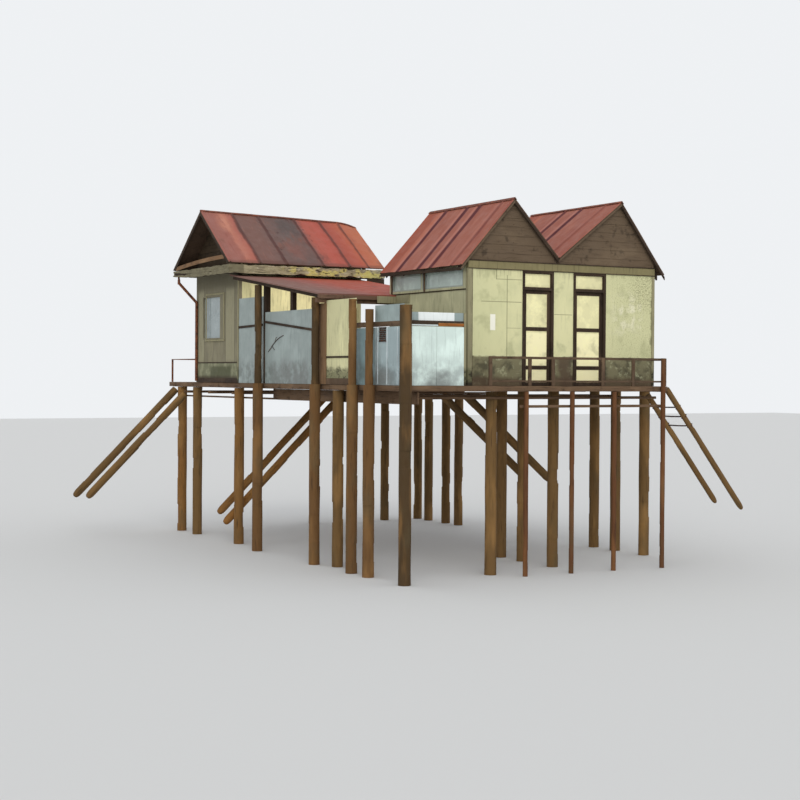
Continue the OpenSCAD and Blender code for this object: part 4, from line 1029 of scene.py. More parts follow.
def makeTies(values):
    low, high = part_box("cross_ties")
    under, top = values["high"]
    inner, post = values["inner"], values["innerPost"]
    build = bmesh.new()
    for index, y in enumerate(values["lines"]):
        start = inner if y < post else values["outer"]
        end = values["rim"] if y < values["walkStart"] else high.x
        addRough(build, (start, y, under), (end, y + values["wide"], top), 5 + index * 1.7, 0.3, 0.009, 0)
    (front, back), (under, top) = values["lowAcross"], values["lowHigh"]
    addRough(build, (low.x + values["lowFrom"], front, under), (values["lowTo"], back, top), 23, 0.25,
             0.008, 0)
    beam = inner - values["beamWide"]
    under, top = values["beamHigh"]
    addRough(build, (beam, values["beamFrom"], under), (inner, post, top), 25, 0.25, 0.009, 1)
    addRough(build, (beam, post, under), (inner, high.y, values["beamRearTop"]), 27, 0.25, 0.006, 1)
    makePiece("wornTies", build, ("deckx", "decky"), stands=("cross_ties",), soften=40)


makeTies(ties)
print("deck timbers done")


def newTree(name, inputs):
    tree = bpy.data.node_groups.new(name, "GeometryNodeTree")
    tree.interface.new_socket("Geometry", in_out="INPUT", socket_type="NodeSocketGeometry")
    for label, kind, value in inputs:
        socket = tree.interface.new_socket(label, in_out="INPUT", socket_type=kind)
        if value is not None:
            socket.default_value = value
    tree.interface.new_socket("Geometry", in_out="OUTPUT", socket_type="NodeSocketGeometry")
    return tree, tree.nodes.new("NodeGroupInput"), tree.nodes.new("NodeGroupOutput")


def makeBoardTree():
    # every edge of the guide becomes one board with rounded arrises
    tree, given, result = newTree("boardsAlongEdges", (
        ("Width", "NodeSocketFloat", 0.1), ("Thick", "NodeSocketFloat", 0.02),
        ("Arris", "NodeSocketFloat", 0.003), ("Step", "NodeSocketFloat", 0.3),
        ("Rough", "NodeSocketFloat", 0.004), ("Seed", "NodeSocketFloat", 1.0),
        ("Material", "NodeSocketMaterial", None)))
    add, link = tree.nodes.new, tree.links.new
    curve = add("GeometryNodeMeshToCurve")
    link(given.outputs["Geometry"], curve.inputs["Mesh"])
    cut = add("GeometryNodeResampleCurve")
    cut.mode = "LENGTH"
    link(curve.outputs[0], cut.inputs["Curve"])
    link(given.outputs["Step"], cut.inputs["Length"])
    up = add("GeometryNodeSetCurveNormal")
    up.mode = "Z_UP"
    link(cut.outputs[0], up.inputs["Curve"])
    shape = add("GeometryNodeCurvePrimitiveQuadrilateral")
    link(given.outputs["Width"], shape.inputs["Width"])
    link(given.outputs["Thick"], shape.inputs["Height"])
    arris = add("GeometryNodeFilletCurve")
    arris.mode = "POLY"
    arris.inputs["Count"].default_value = 1
    link(shape.outputs[0], arris.inputs["Curve"])
    link(given.outputs["Arris"], arris.inputs["Radius"])
    body = add("GeometryNodeCurveToMesh")
    body.inputs["Fill Caps"].default_value = True
    link(up.outputs[0], body.inputs["Curve"])
    link(arris.outputs[0], body.inputs["Profile Curve"])
    grainy = add("ShaderNodeTexNoise")
    grainy.noise_dimensions = "4D"
    grainy.inputs["Scale"].default_value = 1.7
    grainy.inputs["Detail"].default_value = 2.0
    link(given.outputs["Seed"], grainy.inputs["W"])
    centred = add("ShaderNodeVectorMath")
    centred.operation = "SUBTRACT"
    centred.inputs[1].default_value = (0.5, 0.5, 0.5)
    link(grainy.outputs["Color"], centred.inputs[0])
    small = add("ShaderNodeVectorMath")
    small.operation = "SCALE"
    link(centred.outputs[0], small.inputs[0])
    link(given.outputs["Rough"], small.inputs["Scale"])
    moved = add("GeometryNodeSetPosition")
    link(body.outputs[0], moved.inputs["Geometry"])
    link(small.outputs[0], moved.inputs["Offset"])
    real = add("GeometryNodeRealizeInstances")
    link(moved.outputs[0], real.inputs[0])
    skin = add("GeometryNodeSetMaterial")
    link(real.outputs[0], skin.inputs["Geometry"])
    link(given.outputs["Material"], skin.inputs["Material"])
    link(skin.outputs[0], result.inputs[0])
    return tree


def makeNailTree():
    # nail heads at an even pitch along every edge of the guide
    tree, given, result = newTree("nailsAlongEdges", (
        ("Pitch", "NodeSocketFloat", 0.3), ("Radius", "NodeSocketFloat", 0.009),
        ("Depth", "NodeSocketFloat", 0.006), ("Turn", "NodeSocketVector", (0, 0, 0)),
        ("Jitter", "NodeSocketFloat", 0.01), ("Seed", "NodeSocketInt", 1),
        ("Material", "NodeSocketMaterial", None)))
    add, link = tree.nodes.new, tree.links.new
    curve = add("GeometryNodeMeshToCurve")
    link(given.outputs["Geometry"], curve.inputs["Mesh"])
    spots = add("GeometryNodeCurveToPoints")
    spots.mode = "LENGTH"
    link(curve.outputs[0], spots.inputs["Curve"])
    link(given.outputs["Pitch"], spots.inputs["Length"])
    head = add("GeometryNodeMeshCylinder")
    head.inputs["Vertices"].default_value = 7
    link(given.outputs["Radius"], head.inputs["Radius"])
    link(given.outputs["Depth"], head.inputs["Depth"])
    facing = add("GeometryNodeTransform")
    link(head.outputs["Mesh"], facing.inputs["Geometry"])
    link(given.outputs["Turn"], facing.inputs["Rotation"])
    chance = add("FunctionNodeRandomValue")
    chance.data_type = "FLOAT_VECTOR"
    chance.inputs[0].default_value = (-1, -1, -1)
    chance.inputs[1].default_value = (1, 1, 1)
    link(given.outputs["Seed"], chance.inputs["Seed"])
    shake = add("ShaderNodeVectorMath")
    shake.operation = "SCALE"
    link(chance.outputs[0], shake.inputs[0])
    link(given.outputs["Jitter"], shake.inputs["Scale"])
    moved = add("GeometryNodeSetPosition")
    link(spots.outputs["Points"], moved.inputs["Geometry"])
    link(shake.outputs[0], moved.inputs["Offset"])
    copies = add("GeometryNodeInstanceOnPoints")
    link(moved.outputs[0], copies.inputs["Points"])
    link(facing.outputs[0], copies.inputs["Instance"])
    real = add("GeometryNodeRealizeInstances")
    link(copies.outputs[0], real.inputs[0])
    skin = add("GeometryNodeSetMaterial")
    link(real.outputs[0], skin.inputs["Geometry"])
    link(given.outputs["Material"], skin.inputs["Material"])
    link(skin.outputs[0], result.inputs[0])
    return tree


boardTree = makeBoardTree()
nailTree = makeNailTree()


def grow(name, pairs, tree, values, stands=()):
    data = bpy.data.meshes.new("guide")
    points = [p for pair in pairs for p in pair]
    data.from_pydata(points, [(2 * i, 2 * i + 1) for i in range(len(pairs))], [])
    guide = bpy.data.objects.new("guide", data)
    scene.collection.objects.link(guide)
    maker = guide.modifiers.new("maker", "NODES")
    maker.node_group = tree
    for item in tree.interface.items_tree:
        if item.item_type == "SOCKET" and item.in_out == "INPUT" and item.name in values:
            maker[item.identifier] = values[item.name]
    bpy.context.view_layer.update()
    mesh = bpy.data.meshes.new_from_object(guide.evaluated_get(bpy.context.evaluated_depsgraph_get()))
    guide.modifiers.clear()
    bpy.data.objects.remove(guide)
    build = bmesh.new()
    build.from_mesh(mesh)
    bmesh.ops.recalc_face_normals(build, faces=build.faces)
    build.to_mesh(mesh)
    build.free()
    mesh.name = name
    placePiece(name, mesh, "house", stands, 30)


planks = {
    "width": 0.145,
    "gap": 0.006,
    "seed": 11,
    "arris": 0.004,
    "lengths": (2.2, 4.2),
    "shortest": 0.8,
    "corner": 8.34,         # right of this the boards start behind the side walk's edge
    "walkStart": 2.66,
}


def makePlanks(values):
    low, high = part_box("deck_floor")
    step = values["width"] + values["gap"]
    rand = random.Random(values["seed"])
    pairs = []
    x = low.x + step / 2
    middle = (low.z + high.z) / 2 - 0.001
    while x < high.x - step / 2 + 0.002:
        start = low.y if x < values["corner"] else values["walkStart"]
        at = start + 0.003
        while at < high.y - 0.05:
            end = min(high.y - 0.003, at + rand.uniform(*values["lengths"]))
            if high.y - end < values["shortest"]:
                end = high.y - 0.003
            pairs.append(((x, at, middle), (x, end, middle)))
            at = end + 0.005
        x += step
    grow("deckPlanks", pairs, boardTree, {
        "Width": values["width"], "Thick": high.z - low.z - 0.004, "Arris": values["arris"], "Step": 0.9,
        "Rough": 0.003, "Seed": 4.0, "Material": finishes["decky"]}, stands=("deck_floor",))


makePlanks(planks)
print("deck planks done")

roofs = {
    "cell": 0.09,
    "sag": 0.012,
    "ragged": 0.035,
    "thick": 0.040,
}


def addSlope(build, ridge, eave, alongAxis, folds, values, seed, droop=None, reach=None):
    # ridge and eave: the two ends of each line, on the sheet's top plane
    sheet = build.verts.layers.float_vector.get("sheet") or build.verts.layers.float_vector.new("sheet")
    ridge = [Vector(p) for p in ridge]
    eave = [Vector(p) for p in eave]
    along = ridge[1] - ridge[0]
    down = eave[0] - ridge[0]
    normal = along.cross(down).normalized()
    if normal.z < 0:
        normal = -normal
    slopeLength = down.length
    a = "xyz".index(alongAxis)
    start, end = ridge[0][a], ridge[1][a]
    stops = set()
    count = int(abs(end - start) / values["cell"])
    for k in range(count + 1):
        stops.add(round(start + (end - start) * k / count, 4))
    for at, width, height in folds:
        for part in (-1.0, -0.7, -0.35, 0, 0.35, 0.7, 1.0):
            spot = at + part * width
            if min(start, end) < spot < max(start, end):
                stops.add(round(spot, 4))
    lines = sorted(stops)
    lines = [v for i, v in enumerate(lines) if i == 0 or v - lines[i - 1] > 0.006]
    rows = max(4, int(slopeLength / 0.16))
    top, under = [], []
    for value in lines:
        share = (value - start) / (end - start)
        topLine, underLine = [], []
        for r in range(rows + 1):
            t = r / rows
            if r == rows:
                t -= values["ragged"] * (0.5 + 0.5 * noise.noise((value * 2.1, seed, 5.0))) / slopeLength
            spot = ridge[0] + along * share + down * t
            lift = 0.0
            for at, width, height in folds:
                off = abs(value - at) / width
                if off < 1:
                    lift = max(lift, height * (0.5 + 0.5 * math.cos(math.pi * off)))
            lift -= values["sag"] * (0.5 + 0.5 * noise.noise((value * 1.3 + seed, t * 2.2, seed * 0.3)))
            lift -= 0.004 * (0.5 + 0.5 * noise.noise((value * 7.0 + seed, t * 9.0, 2.0)))
            shift = Vector((0, 0, -droop(value, t) if droop else 0.0))
            shift[a] += reach(value, t) if reach else 0.0
            upper = spot + normal * lift + shift
            lower = spot - normal * values["thick"] + shift
            v = build.verts.new(upper)
            w = build.verts.new(lower)
            v[sheet] = (value, t * slopeLength, seed * 2.0)
            w[sheet] = (value, t * slopeLength, seed * 2.0 + 1)
            topLine.append(v)
            underLine.append(w)
        top.append(topLine)
        under.append(underLine)
    for i in range(len(lines) - 1):
        for r in range(rows):
            build.faces.new((top[i][r], top[i + 1][r], top[i + 1][r + 1], top[i][r + 1]))
            face = build.faces.new((under[i][r], under[i][r + 1], under[i + 1][r + 1], under[i + 1][r]))
            face.material_index = 1
    for i in range(len(lines) - 1):
        for r, skin in ((0, 0), (rows, 1)):
            face = build.faces.new((top[i][r], under[i][r], under[i + 1][r], top[i + 1][r]))
            face.material_index = skin
    for i in (0, len(lines) - 1):
        for r in range(rows):
            face = build.faces.new((top[i][r], top[i][r + 1], under[i][r + 1], under[i][r]))
            face.material_index = 1


def ringAt(axis, at, shape):
    # a cross-section's points at a place along an axis
    return [Vector((at, u, z)) if axis == "x" else Vector((u, at, z)) for u, z in shape]


leftRoof = {
    "ridge": (12.35, 10.42),
    "run": 2.32,
    "rise": 1.755,
    "ends": (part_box("left_roof_front")[0].x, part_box("left_roof_front")[1].x),
    "folds": ((-0.42, 0.05, 0.03), (0.58, 0.07, 0.032), (1.50, 0.06, 0.028), (2.76, 0.06, 0.024),
              (3.68, 0.07, 0.032), (4.34, 0.06, 0.03), (4.88, 0.04, 0.02)),
    "sag": 0.026,           # metres a metre
    "sagFrom": -0.47,
    "looseFrom": 4.30,      # the end of the ridge that has come loose
    "looseLong": 0.62,
    "looseDrop": 0.13,
    "looseReach": 0.15,
}


def looseShare(x):
    return max(0.0, (x - leftRoof["looseFrom"]) / leftRoof["looseLong"])


def leftDroop(x, t):
    # the ridge sags to the right, and its end has dropped
    share = looseShare(x)
    return (leftRoof["sag"] * (x - leftRoof["sagFrom"]) + leftRoof["looseDrop"] * share * share) * (1 - t)


def leftReach(x, t):
    # the loose end of the ridge hangs further out than the eave's
    return leftRoof["looseReach"] * looseShare(x) * (1 - t)


def makeLeftRoof(values):
    y, z = values["ridge"]
    low = z - values["rise"]
    start, end = values["ends"]
    for side, node, name in ((-1, "left_roof_front", "leftSheetsFront"),
                             (1, "left_roof_rear", "leftSheetsRear")):
        build = bmesh.new()
        edge = y + side * values["run"]
        addSlope(build, ((start, y, z), (end, y, z)), ((start, edge, low), (end, edge, low)), "x",
                 values["folds"], roofs, 2 + side, leftDroop, leftReach)
        makePiece(name, build, ("roofLeft", "roofUnder"), stands=(node,), soften=50)


makeLeftRoof(leftRoof)

rightRoofs = {
    "ends": (0.58, 5.02),
    "leftFolds": ((4.03, 0.07, 0.03), (2.88, 0.07, 0.03), (2.22, 0.07, 0.03), (1.12, 0.06, 0.025),
                  (0.63, 0.045, 0.02), (4.96, 0.05, 0.02)),
    "farFolds": ((3.19, 0.07, 0.03), (2.39, 0.07, 0.03), (1.27, 0.06, 0.025), (0.63, 0.045, 0.02),
                 (4.96, 0.05, 0.02)),
    "first": (3.620, 9.95),
    "second": (7.130, 10.05),
    "valley": (5.050, 8.44),
    "leftEave": (1.970, 8.13),
    "rightEave": (8.630, 8.11),
}


def makeRightRoofs(values):
    start, end = values["ends"]
    plan = (
        ("roof_left_slopes", "leftSlopeSheets",
         (("first", "leftEave", "leftFolds"), ("second", "valley", "farFolds"))),
        ("roof_right_slopes", "rightSlopeSheets",
         (("first", "valley", "farFolds"), ("second", "rightEave", "leftFolds"))),
    )
    seed = 10
    for node, name, slopes in plan:
        build = bmesh.new()
        skins = ["roofRight", "roofUnder", "roofFar"]
        for ridgeKey, eaveKey, foldKey in slopes:
            seed += 3
            ridge, eave = (((x, start, z), (x, end, z)) for x, z in (values[ridgeKey], values[eaveKey]))
            before = set(build.faces)
            addSlope(build, ridge, eave, "y", values[foldKey], roofs, seed)
            if foldKey == "farFolds":
                for face in set(build.faces) - before:
                    if face.material_index == 0:
                        face.material_index = 2
        makePiece(name, build, skins, stands=(node,), soften=50)


makeRightRoofs(rightRoofs)

caps = {"wide": 0.065, "thick": 0.008, "lift": 0.024}
roofLine = ("leftEave", "first", "valley", "second", "rightEave")


def slopeOf(a, b):
    return abs(b[1] - a[1]) / abs(b[0] - a[0])


def makeCaps(values):
    build = bmesh.new()
    leftEave, first, valley, second, rightEave = (rightRoofs[k] for k in roofLine)
    leftSlope = leftRoof["rise"] / leftRoof["run"]
    ends = rightRoofs["ends"]
    plan = (
        ("y", first, ends, (slopeOf(first, leftEave), slopeOf(first, valley))),
        ("y", second, ends, (slopeOf(second, valley), slopeOf(second, rightEave))),
        ("x", leftRoof["ridge"], leftRoof["ends"], (leftSlope, leftSlope)),
    )
    wide, thick = values["wide"], values["thick"]
    for axis, (middle, top), (start, end), (left, right) in plan:
        rings = []
        count = int((end - start) / 0.11)
        for k in range(count + 1):
            at = start + (end - start) * k / count
            dip = 0.008 * (0.5 + 0.5 * noise.noise((at * 1.7, top, 1.0)))
            dip += leftDroop(at, 0) if axis == "x" else 0.0
            half = wide * (0.9 + 0.1 * noise.noise((at * 2.3, middle, 4.0)))
            base = top + values["lift"] - dip
            shape = ((-half, base - half * left), (0, base), (half, base - half * right),
                     (half, base - half * right + thick), (0, base + thick),
                     (-half, base - half * left + thick))
            place = at + leftReach(at, 0) if axis == "x" else at
            rings.append(ringAt(axis, place, [(middle + u, z) for u, z in shape]))
        capRings(build, rings)
    makePiece("ridgeCaps", build, ("capSheet",), stands=("ridge_caps",), soften=30)


makeCaps(caps)
print("roofs done")

gables = {
    "boardHigh": 0.235,
    "lap": 0.02,
    "front": 0.699,
    "back": 0.719,
    "bottom": 8.272,
    "top": 9.95,
    "peaks": (9.88, 9.98),
    "ridges": ((3.620, 9.90), (7.130, 10.0)),
    "valley": 5.05,
    "ends": (2.25, 8.35),
    "leftFoot": 8.36,       # the left slope leaves the wall's end at this height
    "slopes": ((1.65, 1.82), (1.43, 1.51), (2.08, 1.61), (1.5, 1.94)),      # run and rise, left to right
}


def gableSpan(z):
    # the x ranges of the two gables at a height
    (firstX, firstTop), (secondX, secondTop) = gables["ridges"]
    outer, inner, innerTwo, outerTwo = gables["slopes"]
    start, end = gables["ends"]
    ranges = []
    left = start + max(0.0, z - gables["leftFoot"]) * outer[0] / outer[1]
    rightOne = firstX + (firstTop - z) * inner[0] / inner[1]
    leftTwo = secondX - (secondTop - z) * innerTwo[0] / innerTwo[1]
    right = min(end, secondX + (secondTop - z) * outerTwo[0] / outerTwo[1])
    if z < firstTop:
        ranges.append((left, min(rightOne, gables["valley"])))
    if z < secondTop:
        ranges.append((max(leftTwo, gables["valley"]), right))
    return ranges


def makeGableBoards(values):
    build = bmesh.new()
    z = values["bottom"]
    row = 0
    while z < values["top"]:
        top = z + values["boardHigh"]
        low, high = gableSpan(z), gableSpan(top - 0.004)
        for index, (a, b) in enumerate(low):
            match = [r for r in high if abs((r[0] + r[1]) / 2 - (a + b) / 2) < 0.9]
            which = 0 if a < values["valley"] else 1
            peak = values["ridges"][which][0]
            c, d = match[0] if match else (peak, peak + 0.004)
            c, d = max(a, c), min(b, d)
            over = min(top, values["peaks"][which])
            if b - a < 0.05:
                continue
            count = max(2, int((b - a) / 0.4))
            rings = []
            for k in range(count + 1):
                t = k / count
                xl, xh = a + (b - a) * t, c + (d - c) * t
                wave = 0.004 * noise.noise((xl * 1.5, row, index))
                sag = 0.006 * (0.5 + 0.5 * noise.noise((xl * 0.8, row * 3.0, 2.0)))
                rings.append([
                    Vector((xl, values["front"] + wave, z - values["lap"] + sag)),
                    Vector((xh, values["back"] - 0.008 + wave * 0.3, over - 0.004)),
                    Vector((xh, values["back"] + 0.01, over - 0.004)),
                    Vector((xl, values["back"] + 0.01, z - values["lap"] + sag)),
                ])
            capRings(build, rings)
        z = top
        row += 1
    makePiece("gableBoards", build, ("gable",), soften=30)


makeGableBoards(gables)

verges = {
    "high": 0.11,
    "thick": 0.03,
    "cell": 0.22,
    "drop": 0.0505,     # sheet thickness measured straight down, left roof
    "sheet": 0.041,     # and square to the sheet, right roofs
    "shares": (0.55, 0.8),      # of the height, on the left and right slopes
}


def addVerge(build, start, end, across, high, axis, seed, skin):
    # a worn board under a sloping edge: start and end are (along, z) of its top line
    count = max(3, int(math.dist(start, end) / verges["cell"]))
    rings = []
    for k in range(count + 1):
        t = k / count
        at, top = start[0] + (end[0] - start[0]) * t, start[1] + (end[1] - start[1]) * t
        wear = [0.004 * (0.5 + 0.5 * noise.noise((at * 3.1, seed, i * 2.3))) for i in range(4)]
        shape = ((across[0] + wear[0], top - wear[1]), (across[1] - wear[2], top - wear[1]),
                 (across[1] - wear[2], top - high + wear[3]), (across[0] + wear[0], top - high + wear[3] * 2))
        rings.append(ringAt(axis, at, shape))
    capRings(build, rings, skin)


def makeVerges(values):
    build = bmesh.new()
    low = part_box("verge_boards")[0]
    leftEave, first, valley, second, rightEave = (rightRoofs[k] for k in roofLine)
    segments = ((leftEave, first, 0), (first, valley, 1), (valley, second, 0), (second, rightEave, 1))
    seed = 1
    thick = values["thick"]
    for y in (rightRoofs["ends"][0], rightRoofs["ends"][1] - thick):
        for (ax, az), (bx, bz), skin in segments:
            drop = values["sheet"] * math.hypot(1, (bz - az) / (bx - ax))
            seed += 1
            high = values["high"] * values["shares"][skin]
            addVerge(build, (ax, az - drop), (bx, bz - drop), (y, y + thick), high, "x", seed, skin)
    y, z = leftRoof["ridge"]
    slope = leftRoof["rise"] / leftRoof["run"]
    for side in (-1, 1):
        eave = y + side * leftRoof["run"]
        foot = eave - side * values["high"] / slope
        drop = values["drop"]
        seed += 1
        addVerge(build, (foot, z - abs(foot - y) * slope - drop), (y, z - drop), (low.x, low.x + thick),
                 values["high"], "y", seed, 1)
    makePiece("vergeTimbers", build, ("gable", "darkx"), stands=("verge_boards",),
              soften=30)


makeVerges(verges)

collar = {
    "back": 14.45, "front": 10.50, "low": 0.131, "high": 0.306, "deep": 0.125,
    "base": 8.614,      # top of the eave beam
    "face": (-0.4525, -0.4405),
}


def makeCollar(values):
    build = bmesh.new()
    rings = []
    for k in range(21):
        share = k / 20
        y = values["back"] + (values["front"] - values["back"]) * share
        top = values["base"] + values["low"] + (values["high"] - values["low"]) * (1 - (1 - share) ** 2)
        wear = 0.004 * noise.noise((y * 2.0, 3.0, 1.0))
        a, b = values["face"]
        low = top - values["deep"]
        rings.append(ringAt("y", y, ((a, top + wear), (b, top + wear), (b, low), (a, low - wear))))
    capRings(build, rings)
    makePiece("collarBoard", build, ("collar",), soften=30)


makeCollar(collar)

leftGable = {"boardHigh": 0.24, "outer": 0.126, "bottom": 8.44, "ridge": (12.35, 10.36), "slope": 0.7565}


def makeLeftGableBoards(values):
    build = bmesh.new()
    z = values["bottom"]
    row = 0
    while z < values["ridge"][1] - 0.1:
        top = min(z + values["boardHigh"], values["ridge"][1])
        half = min(1.62, (values["ridge"][1] - z) / values["slope"])
        halfTop = min(1.62, (values["ridge"][1] - top) / values["slope"])
        rings = []
        for k in range(9):
            t = k / 4 - 1
            wave = 0.004 * noise.noise((t * 2.5, row, 3.0))
            rings.append([
                Vector((values["outer"] + wave, 12.35 + half * t, z)),
                Vector((values["outer"] + 0.014, 12.35 + halfTop * t, top - 0.004)),
                Vector((values["outer"] + 0.03, 12.35 + halfTop * t, top - 0.004)),
                Vector((values["outer"] + 0.03, 12.35 + half * t, z)),
            ])
        capRings(build, rings)
        z = top
        row += 1
    makePiece("leftGableBoards", build, ("gableInShade",), soften=30)


makeLeftGableBoards(leftGable)
print("gable boards done")

eaveBeam = {
    "wear": 1.0,
    "sideLift": 0.10,   # how far the side's lower edge has risen at its far end
}


def makeCrumbling(name):
    skin = Finish(name, (166, 157, 126), shine=0.2)
    soft = skin.cloud(0.3, (1.6, 1.6, 0.7), 5.0, 0.65)
    crust = skin.cloud(0.08, (2.2, 2.2, 0.5), 5.0, 0.7, 3.0)
    crack = skin.cloud(0.09, (5.0, 5.0, 0.3), 5.0, 0.7, 7.0)
    skin.lay((126, 118, 96), skin.cut(soft, 0.45, 0.62), 0.85)
    skin.lay((206, 196, 116), skin.both(skin.span("x", 1.5, 5.0, 0.4, (soft, 0.8)), skin.cut(skin.cloud(0.22, (1.6, 1.6, 0.8), shift=2.0), 0.46, 0.56)), 0.85)
    skin.lay((214, 206, 178), skin.cut(crust, 0.55, 0.66), 0.75)
    skin.lay((66, 58, 42), skin.cut(crack, 0.57, 0.63), 0.9)
    skin.lay((58, 48, 36), skin.both(skin.span("x", 1.2, 5.0, 0.3, (soft, 0.6)),
                                     skin.cut(skin.cloud(0.13, (1.6, 1.6, 0.7), shift=17.0), 0.58, 0.65)), 0.85)
    skin.lay((98, 92, 72), skin.span("x", -0.6, 0.02, 0.02), 0.7)
    skin.grit(crust, 0.02).grit(soft, 0.02).grit(crack, -0.008)
    return skin.done((0.8, 0.98))


finishes["crumbled"] = makeCrumbling("crumbledPaint")


def addRagged(build, axis, start, end, low, high, front, back, seed, worn, lift=None):
    # a board whose edges have rotted away: front and back are its faces' places
    count = int((end - start) / 0.032)
    rings = []
    for k in range(count + 1):
        at = start + (end - start) * k / count
        share = worn(at)
        notch = [share * (0.11 * max(0.0, noise.noise((at * 2.3, seed, n))) + 0.05 * max(0.0, noise.noise((at * 9.0, seed, n + 4.0))))
                 for n in (0.0, 9.0)]
        foot = low + notch[0] * 0.8 + (lift(at) if lift else 0.0)
        top = max(foot + 0.03, high - notch[1])
        step = (back - front) * 0.4
        shape = []
        for part in (0.0, 0.25, 0.5, 0.75, 1.0):
            z = foot + (top - foot) * part
            eaten = step * (0.15 + share) * max(0.0, min(1.0, 0.5 + noise.noise((at * 5.0, z * 14.0, seed))))
            shape.append((front + eaten, z))
        shape += [(back, top), (back, foot)]
        rings.append(ringAt(axis, at, shape))
    capRings(build, rings)


def makeEaveBeam(values):
    low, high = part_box("eave_beam")
    wide = 0.06
    soffit = low.z + 0.03
    build = bmesh.new()

    def frontWear(x):
        return values["wear"] * (0.35 + 0.65 * min(1.0, max(0.0, (x - 0.3) / 1.6)))

    def sideWear(y):
        return values["wear"] * 0.5

    def sideLift(y):
        return values["sideLift"] * min(1.0, max(0.0, (y - 12.2) / 2.3)) ** 2

    # the bare timber behind, then what is left of the boards over it
    addRough(build, (low.x + 0.02, low.y + 0.028, low.z + 0.004), (high.x, low.y + wide, high.z), 61, 0.2,
             0.01, 1)
    addRagged(build, "x", low.x, high.x, low.z + 0.105, high.z, low.y + 0.012, low.y + 0.03, 3.0, frontWear)
    addRagged(build, "x", low.x, high.x, low.z, low.z + 0.15, low.y, low.y + 0.028, 8.0, frontWear)
    addRagged(build, "y", low.y + 0.03, high.y, low.z + 0.12, high.z, low.x + 0.008, low.x + 0.04, 5.0,
              sideWear, sideLift)
    addRagged(build, "y", low.y + 0.03, high.y, low.z, low.z + 0.13, low.x, low.x + 0.03, 11.0, sideWear,
              sideLift)
    addRough(build, (low.x + 0.03, low.y + 0.03, low.z + values["sideLift"]),
             (low.x + wide, high.y, high.z), 63, 0.2, 0.01, 1)
    addRagged(build, "x", low.x + 0.03, high.x, low.z + 0.1, high.z, high.y, high.y - wide, 17.0, sideWear)
    addRough(build, (low.x + 0.03, low.y + 0.03, low.z + 0.004), (high.x - 0.01, 10.63, soffit), 81, 0.3,
             0.004, 1)
    addRough(build, (low.x + 0.03, 14.07, high.z - 0.10), (high.x - 0.01, high.y - 0.06, high.z - 0.07),
             83, 0.3, 0.004, 1)
    addRough(build, (low.x + 0.03, low.y + 0.03, high.z - 0.13), (0.120, high.y - 0.05, high.z - 0.10), 85,
             0.3, 0.004, 1)
    makePiece("crumblingEave", build, ("crumbled", "darkx"), stands=("eave_beam",),
              soften=35)


makeEaveBeam(eaveBeam)
print("eave beam done")

railing = {
    "start": 2.55, "end": 8.25, "wide": 0.105, "deep": 0.05, "rail": 0.07,
    "shares": (0, 0.215, 0.345, 0.63, 0.81, 1),
}


def makeRailing(values):
    build = bmesh.new()
    low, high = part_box("balcony_railing")
    y, floor = low.y, low.z
    wide, size, rail = values["wide"], values["deep"], values["rail"]
    span = values["end"] - values["start"]
    seed = 0
    for share in values["shares"]:
        x = values["start"] + share * span
        seed += 1.3
        addRough(build, (x, y, floor), (x + wide, y + size, high.z - 0.004), seed, 0.12, 0.005, 1)
    addRough(build, (values["start"], y, high.z - rail), (values["end"] + wide, y + size, high.z), 21,
             0.14, 0.005, 0)
    addRough(build, (values["start"], y + 0.001, floor + 0.1),
             (values["end"] + wide, y + 0.025, floor + 0.15), 23, 0.14, 0.004, 0)
    addRough(build, (values["end"], y, high.z - rail), (values["end"] + size, high.y, high.z), 25, 0.14,
             0.005, 2)
    makePiece("balconyRail", build, ("railx", "railz", "raily"), stands=("balcony_railing",),
              soften=40)


makeRailing(railing)

def makeRafters():
    # every rafter of both nodes, worn, the left room's under its sagging sheets
    for node, name in (("left_slope_rafters", "leftRafters"), ("right_slope_rafters", "rightRafters")):
        build = bmesh.new()
        for index, p in enumerate(islands(node)):
            size = p.max(0) - p.min(0)
            a, b, axis = (0, 1, "x") if size[0] > size[1] else (1, 0, "y")
            ends = []
            for value in (p[:, a].min(), p[:, a].max()):
                column = p[np.abs(p[:, a] - value) < 0.002]
                ends.append((float(value), float(column[:, 2].max()), float(np.ptp(column[:, 2]))))
            if axis == "y":
                x = float(p[:, 0].mean())
                y, z = leftRoof["ridge"]
                ends = [(at, top - leftDroop(x, min(1.0, abs(at - y) / leftRoof["run"])), high)
                        for at, top, high in ends]
            addVerge(build, ends[0][:2], ends[1][:2], (float(p[:, b].min()), float(p[:, b].max())),
                     ends[0][2], axis, index * 1.3, 0)
        makePiece(name, build, ("darkx",), stands=(node,), soften=30)


makeRafters()


def makeInnerGable():
    # the left room's inner wall, its top under the sagging sheets
    low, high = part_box("left_inner_wall")
    y, z = leftRoof["ridge"]
    slope = leftRoof["rise"] / leftRoof["run"]
    build = bmesh.new()
    rings = []
    for x in (low.x + 0.001, low.x + 0.03, high.x - 0.03, high.x - 0.001):
        ring = [Vector((x, low.y, low.z))]
        count = 8
        for k in range(2 * count + 1):
            at = low.y + (high.y - low.y) * k / (2 * count)
            off = abs(at - y)
            ring.append(Vector((x, at, z - off * slope - 0.052 - leftDroop(4.37, off / leftRoof["run"]))))
        ring.append(Vector((x, high.y, low.z)))
        rings.append(ring)
    capRings(build, rings)
    makePiece("innerGableWall", build, ("tan",), stands=("left_inner_wall",), soften=30)


makeInnerGable()
print("rafters and inner gable done")


def makeBoards(name, skins, boards, stands=(), body="house", cell=0.12, depth=0.004):
    build = bmesh.new()
    for index, (low, high, skin) in enumerate(boards):
        addRough(build, low, high, 1.9 * index + len(name), cell, depth, skins.index(skin))
    return makePiece(name, build, skins, body=body, stands=stands, soften=35)


